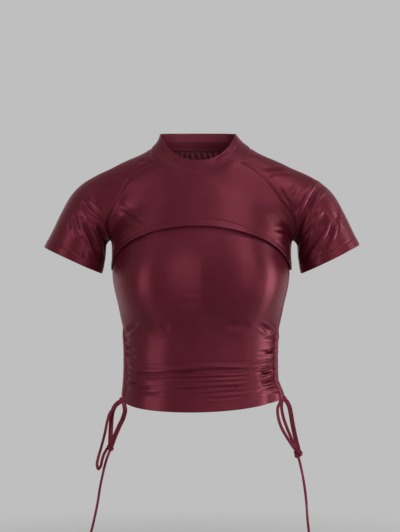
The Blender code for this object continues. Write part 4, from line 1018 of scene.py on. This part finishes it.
def collar(looks):
    """The stand collar: a folded band whose foot follows the neck seam."""
    angles = np.arange(0.0, 360.0, COLLAR_STEP)
    seam = neck_point(angles)
    foot = seam + normals(figure_field, seam) * (LAYER_GAP + CLOTH - SEAM_SINK * 0.6)
    turn = np.radians(angles)
    forward = np.sin(turn)
    depth = np.where(forward > 0, COLLAR_FRONT, COLLAR_BACK)
    drop = np.clip(forward, 0.0, 1.0) ** 1.5
    power = 2 / COLLAR_SQUARENESS
    level = np.where(forward < 0, np.abs(forward) ** power, drop)
    height = COLLAR_TOP_BACK - COLLAR_DIP * (1 - level)
    height = height + (COLLAR_TOP_FRONT - COLLAR_TOP_BACK) * drop
    top = xyz(COLLAR_SHIFT + COLLAR_HALF_WIDTH * signed_power(np.cos(turn), power),
              -depth * signed_power(forward, power), height)
    rise = np.linspace(0.0, 1.0, COLLAR_ROWS + 1)[:, None, None]
    grid = foot + (top - foot) * rise
    centre = np.array((COLLAR_SHIFT, 0.0, 0.0))
    inward = unit((centre - grid) * np.array((1.0, 1.0, 0.0)))
    grid = grid + inward * COLLAR_HOLLOW * np.sin(math.pi * rise)
    upward = unit(grid[-1:] - grid[:1])
    round_neck = unit(np.roll(grid, -1, axis=1) - np.roll(grid, 1, axis=1))
    normal = unit(np.cross(round_neck, np.broadcast_to(upward, grid.shape)))
    normal = normal * np.sign((normal * -inward).sum(-1, keepdims=True))
    share = rise[..., 0]
    lift = np.zeros(grid.shape[:-1])
    for line in COLLAR_LINES:
        reach = smoothstep(line.first, line.first + LINE_FADE, angles)
        reach = reach * smoothstep(line.last, line.last - LINE_FADE, angles)
        lift = lift - line.depth * reach[None, :] * groove(share, line.share, line.half_width)
    lift = lift + COLLAR_UNEVEN * waviness(grid, *COLLAR_WAVES) * np.sin(math.pi * share)
    lift = lift + SEAM_SINK * 0.5 * smoothstep(0.0, 0.003, run_length(grid, 0))
    outer = grid + normal * lift[..., None]
    band = shell("collar_looks", outer, normal, COLLAR_WALL, looks[:2], ring=True)
    around = np.concatenate((np.arange(len(angles)), (0,)))
    rows = [line_at(surface[::-1, around], normal[::-1, around] * way, distance)
            for surface, way in ((outer, 1.0), (outer - normal * COLLAR_WALL, -1.0))
            for distance in COLLAR_STITCHES]
    return band, stitches("collar_stitches", rows, looks[2])


# ---------------------------------------------------------------- tube body and channels
TUCK_FOOT = (-0.205, -0.165)        # the tuck under the upper layer starts between these heights
TUCK_TOP = (-0.105, -0.150)         # and ends between these
CALM_HEIGHTS = (-0.40, -0.36)       # the slow unevenness dies away towards the hem
SEAM_ENDS = (-0.41, -0.39)          # and so does the turn at the side seams
BODY_WAVES = (0.080, 31)            # size and seed of the unevenness
TOP_DENT = 0.0004                   # depth of the dents along the top hem's stitches
TOP_DENT_WIDTH = 0.0011
FLARE_TOP = -0.385                  # the hem's corners start to stand out at this height
FLARE_REACH = (4.0, 22.0)           # and fade between these degrees from the seam
CHANNEL_HEAD = 0.45                 # share of its width that a channel has at its top end
CHANNEL_HEAD_END = (-0.003, 0.014)  # it reaches its full width between these depths below it
GATHER_TOP = -0.302
GATHER_FOOT = -0.404
BODY_ROWS = np.concatenate((
    np.linspace(-0.160, -0.262, 44), np.linspace(-0.262, -0.330, 42)[1:],
    np.linspace(-0.330, -0.408, 100)[1:], np.linspace(-0.408, HEM_SIDE, 9)[1:]))
BODY_COLUMNS = 200
SEAM_ANGLES = (CHANNEL_FORWARD_RIGHT, 180.0 - CHANNEL_FORWARD_LEFT)


def body_heights(angle, levels):
    """Heights of the tube body's rows at an angle: arched at the top, dropped at the hem."""
    levels = levels[:, None]
    round_off = np.abs(np.sin(np.radians(angle)))[None, :]
    rise = (TUBE_TOP_CENTRE - TUBE_TOP_SIDE) * round_off ** 0.7
    tilt = HEM_TILT * np.cos(np.radians(angle))[None, :]
    return (levels + rise * smoothstep(GATHER_TOP, TUBE_TOP_SIDE, levels)
            + (tilt - HEM_DROP * round_off) * smoothstep(-0.34, HEM_SIDE, levels))


# Fine folds drawn right across from seam to seam, uneven in length and strength
DRAWN_TOP = -0.366
DRAWN_FOOT = -0.4015
DRAWN_COUNT = 9
DRAWN_DEPTH = 0.0008
DRAWN_WIDTH = 0.0013
DRAWN_SEED = 50


def drawn_folds(points, face):
    """How far each point moves in because of the fine folds above the hem."""
    draw = np.random.default_rng(DRAWN_SEED + face)
    x, z = points[..., 0], points[..., 2]
    depth = np.zeros(z.shape)
    for start in np.linspace(DRAWN_TOP, DRAWN_FOOT, DRAWN_COUNT):
        level = start + draw.uniform(-0.0012, 0.0012)
        lean, arch, wave = draw.uniform(-0.015, 0.030), draw.uniform(-0.3, 0.2), draw.uniform(0, 6)
        middle, reach = draw.uniform(-0.10, 0.10), draw.uniform(0.035, 0.095)
        line = level + lean * x + arch * x * x + 0.0006 * np.sin(x * 55 + wave)
        u = np.abs(z - line) / (DRAWN_WIDTH * draw.uniform(0.8, 1.4))
        fade = np.exp(-np.abs((x - middle) / reach) ** 3)
        depth += draw.uniform(0.4, 1.0) * fade * crease(u, 0.4)
    return DRAWN_DEPTH * depth


# Gathers fan out from each channel: one row of the table for each side of each seam
Fan = namedtuple("Fan", "seam away count reach depth slope seed")
FANS = (
    Fan(0, 1, 17, 0.052, 0.0023, -0.22, 5),
    Fan(0, -1, 15, 0.046, 0.0026, -0.15, 6),
    Fan(1, -1, 16, 0.038, 0.0023, -0.18, 7),
    Fan(1, 1, 15, 0.046, 0.0026, -0.15, 8),
)


def turn_from(angle, seam):
    """Degrees from a seam, up to 180 either way."""
    return (angle - seam + 180.0) % 360.0 - 180.0


def gathers(angle, points):
    """How far each point moves in because of the small gathers beside the channels."""
    z = points[..., 2]
    depth = np.zeros(z.shape)
    for fan in FANS:
        draw = np.random.default_rng(fan.seed)
        turn = turn_from(angle, SEAM_ANGLES[fan.seam])
        away = np.radians(turn) * SIDE_RADIUS * fan.away
        side = smoothstep(-0.014, -0.004, away) * (0.14 + 0.86 * smoothstep(0.006, 0.020, away))
        share = (np.arange(fan.count) + draw.uniform(0.2, 0.8, fan.count)) / fan.count
        starts = GATHER_TOP - 0.004 + (GATHER_FOOT - GATHER_TOP) * share ** 0.82
        for start in starts:
            reach = fan.reach * draw.uniform(0.45, 1.25)
            slope = fan.slope * draw.uniform(0.2, 1.6)
            slope = slope * smoothstep(-0.40, -0.33, start) - 0.10 * draw.uniform(-1.0, 1.0)
            bend = draw.uniform(-1.5, 1.5)
            width = draw.uniform(0.0017, 0.0028)
            off = z - start - slope * np.abs(away) - bend * away ** 2
            fade = 1 - smoothstep(0.35, 1.0, np.abs(away) / reach)
            u = np.abs(off) / width
            depth += fan.depth * draw.uniform(0.55, 1.2) * fade * side * crease(u, 0.35)
    calm = 0.30 + 0.70 * smoothstep(0.05, 0.50, np.abs(np.sin(np.radians(angle))))
    return depth * calm * smoothstep(HEM_SIDE + 0.002, GATHER_FOOT - 0.002, z)


def hem_flare(angle, points):
    """How far the hem's corners stand out beside the channels."""
    from_seam = np.min([np.abs(turn_from(angle, seam)) for seam in SEAM_ANGLES], axis=0)
    flare = smoothstep(FLARE_TOP, HEM_SIDE, points[..., 2])
    flare = flare * (1 - smoothstep(*FLARE_REACH, from_seam))
    return flare * np.where(points[..., 0] > 0, HEM_FLARE_RIGHT, HEM_FLARE_LEFT)


TOP_STITCHES = (-0.1414, -0.1480)   # heights of the rows along the tube body's top hem
BODY_HEM = 0.012                    # depth of its bottom hem, where its stitches run


def body_panel(name, first, last, looks):
    """The front or back of the tube body, between the side seams."""
    angle = np.linspace(first, last, BODY_COLUMNS + 1)
    height = body_heights(angle, BODY_ROWS)
    angle = np.broadcast_to(angle, height.shape)
    points = torso_point(angle, height)
    normal = normals(torso_field, points)
    sides = edge_distance(points, ("left", "right"))
    lift = -TUCK * smoothstep(*TUCK_FOOT, height) * smoothstep(*TUCK_TOP, height)
    lift = lift - folded(points, normal, BODY_FOLDS) - gathers(angle, points)
    lift = lift - drawn_folds(points, 1 if first < 90.0 else -1)
    lift = lift + hem_flare(angle, points) - seam_turn(sides) * smoothstep(*SEAM_ENDS, height)
    calm = smoothstep(*CALM_HEIGHTS, height)
    lift = lift + UNEVEN * calm * waviness(points, *BODY_WAVES)
    for row in TOP_STITCHES:
        lift = lift - TOP_DENT * groove(height, row, TOP_DENT_WIDTH)
    outer = points + normal * lift[..., None]
    return sewn_sheet(name, outer, normal, CLOTH, [line_at(outer, normal, BODY_HEM)], looks)


CHANNEL_COLUMNS = 36
CHANNEL_ROWS = np.linspace(GATHER_TOP, HEM_SIDE, 150)
TUNNEL_SHOWN = 0.45         # the share of its rise that a drawn-up tunnel still shows
PUCKER = 0.00020            # depth of the small puckers along the channels
PUCKERS = 13
PUCKER_SEED = 40
CHANNEL_SEWN = 7            # the outer stitches run on this column from each edge
CHANNEL_SUNK = 0.00012      # the stitches sink into the cloth by this much


def channel(name, side, looks):
    """A strip of cloth over a side seam, stitched into two tunnels for the drawcord."""
    across = np.sin(np.linspace(-math.pi / 2, math.pi / 2, CHANNEL_COLUMNS + 1))
    spread = CHANNEL_HALF_WIDTH / SIDE_RADIUS
    middle = SEAM_ANGLES[0] if side > 0 else SEAM_ANGLES[1]
    angle = middle + side * np.degrees(spread) * across
    height = body_heights(angle, CHANNEL_ROWS)
    below = (CHANNEL_ROWS[0] - CHANNEL_ROWS)[:, None]
    narrowed = CHANNEL_HEAD + (1 - CHANNEL_HEAD) * smoothstep(*CHANNEL_HEAD_END, below)
    angle = middle + (angle[None, :] - middle) * narrowed
    points = torso_point(angle, height)
    normal = normals(torso_field, points)
    tunnel = np.sin(math.pi * np.abs(across)) ** 2
    laid = smoothstep(1.0, 0.80, np.abs(across))[None, :]
    tunnel = tunnel[None, :] * smoothstep(0.0, 0.016, below)
    lift = LAYER_GAP + CLOTH * (1.6 * smoothstep(-0.002, 0.014, below) - 0.6)
    lift = lift + TUNNEL_RISE * TUNNEL_SHOWN * tunnel
    draw = np.random.default_rng(PUCKER_SEED + side)
    pucker = np.zeros(height.shape)
    for start in np.linspace(GATHER_TOP - 0.004, GATHER_FOOT, PUCKERS):
        at = start + draw.uniform(-0.0030, 0.0030)
        lean = draw.uniform(-0.25, 0.25) * across[None, :] * CHANNEL_HALF_WIDTH
        width = draw.uniform(0.0018, 0.0034)
        pucker += draw.uniform(0.3, 1.1) * groove(height, at + lean, width)
    lift = (lift - PUCKER * pucker * (0.3 + 0.7 * tunnel)) * laid
    lift = lift - gathers(angle, points) + hem_flare(angle, points) - 0.0005 * (1 - laid)
    outer = points + normal * lift[..., None]
    columns = (CHANNEL_SEWN, CHANNEL_COLUMNS // 2, CHANNEL_COLUMNS - CHANNEL_SEWN)
    rows = [(outer[:, column] - normal[:, column] * CHANNEL_SUNK, normal[:, column])
            for column in columns]
    return sewn_sheet(name, outer, normal, CLOTH, rows, looks)


# ---------------------------------------------------------------- drawcords and knots
# The drawcords are flat straps of the same cloth
STRAP_THICKNESS = 0.0024
# Each strap's length and width, its knot, and the degrees that it is turned from facing the
# front along its way
Strap = namedtuple("Strap", "length width knot turns")
STRAPS = {
    "cord_right_outer": Strap(0.097, 0.0078, "knot_right", (24.0, 6.0, 0.0, 0.0, 8.0)),
    "cord_right_inner": Strap(0.102, 0.0054, "knot_right", (26.0, 28.0, 22.0, 18.0, 14.0)),
    "cord_right_loop": Strap(0.097, 0.0054, "knot_right", (20.0, 18.0, 14.0, 12.0, 10.0)),
    "cord_right_tail": Strap(0.183, 0.0046, None, (16.0, 34.0, 20.0, 38.0, 22.0, 34.0, 24.0)),
    "cord_left_outer": Strap(0.087, 0.0080, "knot_left", (-14.0, -16.0, -14.0, -12.0, -10.0)),
    "cord_left_inner": Strap(0.082, 0.0078, "knot_left", (-22.0, -6.0, 0.0, 0.0, -8.0)),
    "cord_left_loop": Strap(0.170, 0.0052, "knot_left",
                            (-22.0, -36.0, -30.0, -40.0, -24.0, -30.0, -34.0)),
    "cord_left_tail": Strap(0.192, 0.0044, None,
                            (-10.0, -20.0, -36.0, -22.0, -34.0, -16.0, -8.0)),
}
STRAP_SIDES = 16
STRAP_STEP = 0.0016
TUCKED_IN = 0.0045          # the straps start inside the channels and end inside the knots


def tube_faces(rings, sides, closed=False):
    """Quads round a tube of rings of points. A closed tube's last ring joins its first."""
    faces = []
    for ring in range(rings if closed else rings - 1):
        following = (ring + 1) % rings
        for k in range(sides):
            after = (k + 1) % sides
            faces.append((ring * sides + k, ring * sides + after,
                          following * sides + after, following * sides + k))
    return faces


def strap(name, material):
    """A flat strap of folded cloth along a route: thicker at its edges, with rounded ends."""
    shape = STRAPS[name]
    route = np.array(ROUTES[name])
    whole = [[route[0] - unit(route[1] - route[0]) * TUCKED_IN], route]
    if shape.knot:
        whole.append([route[-1] + unit(route[-1] - route[-2]) * TUCKED_IN])
    count = int(shape.length / STRAP_STEP)
    path = curve_through(np.concatenate(whole), count)
    along = unit(np.gradient(path, axis=0))
    front = np.broadcast_to(np.array((0.0, -1.0, 0.0)), path.shape)
    across = unit(np.cross(along, front))
    facing = np.cross(across, along)
    key = np.linspace(0.0, 1.0, len(shape.turns))
    turns = np.radians(np.interp(np.linspace(0.0, 1.0, count), key, shape.turns))[:, None]
    wide = across * np.cos(turns) + facing * np.sin(turns)
    thick = np.cross(along, wide)
    angle = np.arange(STRAP_SIDES) * 2 * math.pi / STRAP_SIDES
    flat = signed_power(np.cos(angle), 0.8)
    bulge = signed_power(np.sin(angle), 0.7) * (0.48 + 0.52 * flat ** 2)
    place = np.arange(count)
    ends = np.clip(np.minimum(place, place[::-1]) / 2.0, 0.0, 1.0)
    ends = np.sqrt(1 - (1 - ends) ** 2)[:, None, None] * 0.85 + 0.15
    wave = 1 + 0.07 * np.sin(place * 0.9)[:, None, None]
    rings = (path[:, None] + wide[:, None] * flat[None, :, None] * ends * shape.width / 2
             + thick[:, None] * bulge[None, :, None] * ends * wave * STRAP_THICKNESS / 2)
    faces = tube_faces(count, STRAP_SIDES)
    faces.append(tuple(range(STRAP_SIDES)))
    faces.append(tuple(range((count - 1) * STRAP_SIDES, count * STRAP_SIDES)))
    reach = run_length(path[:, None], 0)
    cuts = xyz(flat[None, :] * shape.width / 2, reach, 0.0)
    return make_piece(name + "_strap", rings, faces, (material,), cuts), path


Knot = namedtuple("Knot", "centre width depth height tilt")
KNOTS = {
    "knot_right": Knot((0.1632, -0.0265, -0.5128), 0.0148, 0.0130, 0.0165, 20.0),
    "knot_left": Knot((-0.1528, -0.0225, -0.5028), 0.0120, 0.0120, 0.0140, -25.0),
}
KNOT_STEPS = 72
KNOT_SIDES = 12
KNOT_STRAP = 0.21           # size of its strap, as a share of the knot's least size


def knot(name, material):
    """A drawn-up knot: the strap goes over and under itself three times in a tight lump."""
    shape = KNOTS[name]
    t = np.arange(KNOT_STEPS) * 2 * math.pi / KNOT_STEPS
    line = xyz(np.sin(t) + 2 * np.sin(2 * t), -1.25 * np.sin(3 * t),
               np.cos(t) - 2 * np.cos(2 * t))
    size = np.array((shape.width, shape.depth, shape.height))
    thick = KNOT_STRAP * min(size)
    line = line / np.abs(line).max(axis=0) * (size / 2 - thick * 0.9)
    along = unit(np.roll(line, -1, axis=0) - np.roll(line, 1, axis=0))
    out = unit(line - along * (line * along).sum(-1, keepdims=True) + 1e-6)
    side = np.cross(along, out)
    angle = np.arange(KNOT_SIDES) * 2 * math.pi / KNOT_SIDES
    rings = (line[:, None] + out[:, None] * (np.cos(angle) * thick * 0.85)[None, :, None]
             + side[:, None] * (np.sin(angle) * thick * 1.25)[None, :, None])
    tilt = math.radians(shape.tilt)
    turn = np.array(((math.cos(tilt), 0.0, math.sin(tilt)), (0.0, 1.0, 0.0),
                     (-math.sin(tilt), 0.0, math.cos(tilt))))
    rings = rings @ turn.T + np.array(shape.centre)
    cuts = xyz(angle[None, :] * thick, t[:, None] * 0.01, 0.0)
    return make_piece(name + "_tied", rings, tube_faces(KNOT_STEPS, KNOT_SIDES, closed=True),
                      (material,), cuts)


# ---------------------------------------------------------------- materials
WINE = (0.097, 0.0096, 0.0192, 1.0)
WINE_DEEP = (0.083, 0.0079, 0.0160, 1.0)
WRONG_SIDE_PAINTED_LIGHT = (0.165, 0.0340, 0.0440, 1.0)   # the cloth's matt wrong side, painted lighter as light on the insides that lie in shade
WRONG_SIDE_PAINTED_LIGHT_DEEP = (0.140, 0.0285, 0.0370, 1.0)
COLLAR_INSIDE_PAINTED_LIGHT = (0.140, 0.0170, 0.0300, 1.0)   # the right side of the cloth inside the collar, painted lighter and matt as light where it lies in shade
THREAD = (0.116, 0.0130, 0.0250, 1.0)
SHINE = (1.0, 0.37, 0.46, 1.0)          # the tint of the satin's shine
STRETCH = 0.80                          # how far the shine is drawn out up and down
METALLIC = 0.42                         # how much of it mirrors as metal does
WALE = 0.00062                          # from one knitted rib to the next
COURSE = 0.00050                        # and from one row of stitches to the next


def wired(tree, kind, inputs, **settings):
    """A new node, with its settings and its inputs given as values or as other sockets."""
    node = tree.nodes.new(kind)
    for key, value in settings.items():
        setattr(node, key, value)
    for key, value in inputs.items():
        if isinstance(value, bpy.types.NodeSocket):
            tree.links.new(value, node.inputs[key])
        else:
            node.inputs[key].default_value = value
    return node


def maths(tree, operation, *values, **settings):
    """The output of a Math node for values or sockets."""
    return wired(tree, "ShaderNodeMath", dict(enumerate(values)), operation=operation,
                 **settings).outputs[0]


def blank(name):
    """A new material, its node tree and its shader."""
    material = bpy.data.materials.new(name)
    material.use_nodes = True
    return material, material.node_tree, material.node_tree.nodes["Principled BSDF"]


def satin(name, light, deep, roughness, metallic=METALLIC, knit=True):
    """Glossy double-knit satin: fine ribs, faint cloudy colour and a soft tinted shine."""
    material, tree, shader = blank(name)
    place = wired(tree, "ShaderNodeTexCoord", {}).outputs["Object"]
    clouds = wired(tree, "ShaderNodeTexNoise",
                   {"Vector": place, "Scale": 26.0, "Detail": 3.0, "Roughness": 0.5})
    cloud = clouds.outputs["Fac"]
    ramp = wired(tree, "ShaderNodeMapRange", {"Value": cloud, "From Min": 0.3, "From Max": 0.7})
    colour = wired(tree, "ShaderNodeMix", {"Factor": ramp.outputs["Result"], "A": deep,
                                           "B": light}, data_type="RGBA")
    bump = wired(tree, "ShaderNodeBump", {"Height": cloud, "Strength": 0.35, "Distance": 0.0016})
    gloss = wired(tree, "ShaderNodeMapRange",
                  {"Value": cloud, "From Min": 0.3, "From Max": 0.7,
                   "To Min": roughness - 0.03, "To Max": roughness + 0.03})
    base = colour.outputs["Result"]
    if knit:
        cut = wired(tree, "ShaderNodeAttribute", {}, attribute_name="cut")
        parts = wired(tree, "ShaderNodeSeparateXYZ", {"Vector": cut.outputs["Vector"]})
        wales, courses = (
            maths(tree, "SINE", maths(tree, "MULTIPLY", parts.outputs[part],
                                      2 * math.pi / pitch))
            for part, pitch in (("X", WALE), ("Y", COURSE)))
        ribs = maths(tree, "MULTIPLY_ADD", courses, 0.45, wales)
        bump = wired(tree, "ShaderNodeBump",
                     {"Height": ribs, "Strength": 0.20, "Distance": 0.00006,
                      "Normal": bump.outputs["Normal"]})
        # painted shade and light along the ribs: the colour is darker in the rib grooves and lighter
        # on their crests, following the bump
        shade = wired(tree, "ShaderNodeMapRange",
                      {"Value": wales, "From Min": -1.0, "From Max": 1.0, "To Min": 0.93,
                       "To Max": 1.05})
        base = wired(tree, "ShaderNodeVectorMath", {0: base, "Scale": shade.outputs["Result"]},
                     operation="SCALE").outputs["Vector"]
    round_body = wired(tree, "ShaderNodeTangent", {}, direction_type="RADIAL", axis="Z")
    for key, socket in (("Roughness", gloss.outputs["Result"]), ("Base Color", base),
                        ("Normal", bump.outputs["Normal"]),
                        ("Tangent", round_body.outputs["Tangent"])):
        tree.links.new(socket, shader.inputs[key])
    for key, value in (("Anisotropic", STRETCH if metallic else 0.0),
                       ("Anisotropic Rotation", 0.25), ("Metallic", metallic),
                       ("Specular IOR Level", 0.5), ("Specular Tint", SHINE),
                       ("Sheen Weight", 0.04), ("Sheen Roughness", 0.35),
                       ("Sheen Tint", SHINE)):
        shader.inputs[key].default_value = value
    return material


def seen_by_eye(tree):
    """1 for what the camera sees, also by way of a mirror or glass, and 0 for lit surfaces."""
    ray = wired(tree, "ShaderNodeLightPath", {}).outputs
    seen = maths(tree, "ADD", ray["Is Camera Ray"], ray["Is Glossy Ray"])
    return maths(tree, "ADD", seen, ray["Is Transmission Ray"], use_clamp=True)


def paper(name):
    """A plain pale matt floor that runs out, away from the middle, into the backdrop's tone."""
    material, tree, shader = blank(name)
    grain = wired(tree, "ShaderNodeTexNoise", {"Scale": 90.0, "Detail": 2.0})
    tone = wired(tree, "ShaderNodeMapRange",
                 {"Value": grain.outputs["Fac"], "To Min": FLOOR_TONE - 0.01,
                  "To Max": FLOOR_TONE}).outputs["Result"]
    colour = wired(tree, "ShaderNodeCombineColor", {"Red": tone, "Green": tone, "Blue": tone})
    tree.links.new(colour.outputs["Color"], shader.inputs["Base Color"])
    shader.inputs["Roughness"].default_value = 0.9
    shader.inputs["Specular IOR Level"].default_value = 0.1
    place = wired(tree, "ShaderNodeTexCoord", {}).outputs["Object"]
    away = wired(tree, "ShaderNodeVectorMath", {0: place}, operation="LENGTH")
    far = wired(tree, "ShaderNodeMapRange",
                {"Value": away.outputs["Value"], "From Min": FLOOR_NEAR, "From Max": FLOOR_FAR},
                interpolation_type="SMOOTHSTEP")
    part = maths(tree, "MULTIPLY", far.outputs["Result"], seen_by_eye(tree))
    glow = wired(tree, "ShaderNodeEmission",
                 {"Color": (BACKDROP_TONE, BACKDROP_TONE, BACKDROP_TONE, 1.0)})
    mixed = wired(tree, "ShaderNodeMixShader",
                  {0: part, 1: shader.outputs[0], 2: glow.outputs[0]})
    tree.links.new(mixed.outputs[0], tree.nodes["Material Output"].inputs["Surface"])
    return material


# ---------------------------------------------------------------- stage and lights
FLOOR_GAP = 0.090           # the floor lies this far below the straps' ends
FLOOR_RADIUS = 30.0
FLOOR_NEAR = 0.35           # where the floor starts to take the backdrop's tone
FLOOR_FAR = 1.2
FLOOR_TONE = 0.72
BACKDROP_TONE = 0.52
WORLD_LEVEL = 0.20          # how strongly the surroundings light the garment


def stage():
    """A wide round floor."""
    turns = np.linspace(0.0, 2 * math.pi, 97)[:-1]
    points = [(FLOOR_RADIUS * math.cos(turn), FLOOR_RADIUS * math.sin(turn), 0.0)
              for turn in turns]
    mesh = bpy.data.meshes.new("stage")
    mesh.from_pydata(points, [], [tuple(range(len(points)))])
    mesh.materials.append(paper("stage"))
    piece = put_in_scene("stage", mesh)
    piece.location = (0.0, 0.0, CAD_BOX[0].z - FLOOR_GAP)


# Softboxes: name, place, aim, width, height and power
LIGHTS = (
    ("front_wide", (1.45, -2.90, 0.20), (0.0, 0.0, -0.20), 2.4, 1.9, 23.5),
    ("front_above", (0.35, -2.15, 1.70), (0.0, 0.0, -0.20), 2.9, 1.4, 10.0),
    ("side_right", (1.42, 0.00, -0.28), (0.0, 0.0, -0.25), 0.25, 0.84, 12.0),
    ("side_left", (-1.10, -0.92, -0.26), (0.0, 0.0, -0.25), 0.14, 0.86, 6.2),
    ("waist_right", (1.30, -0.64, -0.46), (0.0, 0.0, -0.33), 0.22, 0.40, 2.4),
    ("collar_right", (0.55, -0.62, 1.15), (0.0, 0.0, -0.05), 0.30, 0.30, 6.0),
    ("rim_right", (1.20, 1.50, 0.20), (0.1, 0.0, -0.20), 0.45, 1.6, 0.2),
    ("rim_left", (-1.20, 1.50, 0.20), (-0.1, 0.0, -0.20), 0.45, 1.6, 0.6),
    ("above", (0.10, 0.25, 1.90), (0.0, 0.0, -0.10), 1.2, 0.8, 1.8),
)


def lights():
    """The softboxes and the even light of the surroundings."""
    for name, place, aim, width, height, power in LIGHTS:
        lamp = bpy.data.lights.new(name, "AREA")
        lamp.shape = "RECTANGLE"
        lamp.size, lamp.size_y, lamp.energy = width, height, power
        holder = put_in_scene(name, lamp)
        holder.location = place
        holder.rotation_euler = look_at(place, aim)
    world = bpy.data.worlds.new("studio")
    world.use_nodes = True
    tree = world.node_tree
    level = wired(tree, "ShaderNodeMapRange", {"Value": seen_by_eye(tree),
                                               "To Min": WORLD_LEVEL, "To Max": BACKDROP_TONE})
    tree.links.new(level.outputs["Result"], tree.nodes["Background"].inputs["Strength"])
    tree.nodes["Background"].inputs["Color"].default_value = (1.0, 1.0, 1.0, 1.0)
    bpy.context.scene.world = world
    bpy.context.scene.view_settings.view_transform = "Standard"


# ---------------------------------------------------------------- putting it together
# The cut of each piece before it was sewn (width, length and, where it is shaped, area), how
# the garment holds it and what it lies on
Cut = namedtuple("Cut", "width length area held rests_on")


def place_sheet(node, piece, sewn):
    """Stand a piece of cloth and its stitches in for a node."""
    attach(piece, "root")
    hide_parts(node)
    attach(sewn, "root")


make_camera()
stage()
lights()
strap_satin = satin("strap_satin", THREAD, WINE, 0.42)
knots = {}
for name in KNOTS:
    knots[name] = knot(name, strap_satin)
    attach(knots[name], "root")
    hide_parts(name)
for name in STRAPS:
    piece, path = strap(name, strap_satin)
    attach(piece, "root")
    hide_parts(name)

panel_satin = satin("panel_satin", WINE, WINE_DEEP, 0.40)
# the wrong side and the collar's inside carry colours painted lighter, as light on insides that lie
# in shade
wrong_side_painted_light = satin("satin_wrong_side_painted_light", WRONG_SIDE_PAINTED_LIGHT, WRONG_SIDE_PAINTED_LIGHT_DEEP, 0.70, metallic=0.0)
# the collar's inside: the same satin, painted lighter as light on a face that lies in shade
inside = satin("collar_inside_painted_light", COLLAR_INSIDE_PAINTED_LIGHT, WINE, 0.55, metallic=0.0)
thread = satin("thread", THREAD, WINE, 0.45, knit=False)
looks = (panel_satin, wrong_side_painted_light, thread)
back_seams = (SEAM_ANGLES[1], 360.0 + SEAM_ANGLES[0])
place_sheet("body_front", *body_panel("body_front_looks", *SEAM_ANGLES, looks))
place_sheet("body_back", *body_panel("body_back_looks", *back_seams, looks))
place_sheet("yoke_front", *yoke("yoke_front_looks", 1, looks))
place_sheet("yoke_back", *yoke("yoke_back_looks", -1, looks))
place_sheet("sleeve_right", *sleeve("sleeve_right_looks", 1, SLEEVE_RIGHT_FOLDS, looks))
place_sheet("sleeve_left", *sleeve("sleeve_left_looks", -1, SLEEVE_LEFT_FOLDS, looks))
place_sheet("collar", *collar((panel_satin, inside, thread)))
place_sheet("channel_right", *channel("channel_right_looks", 1, looks))
place_sheet("channel_left", *channel("channel_left_looks", -1, looks))
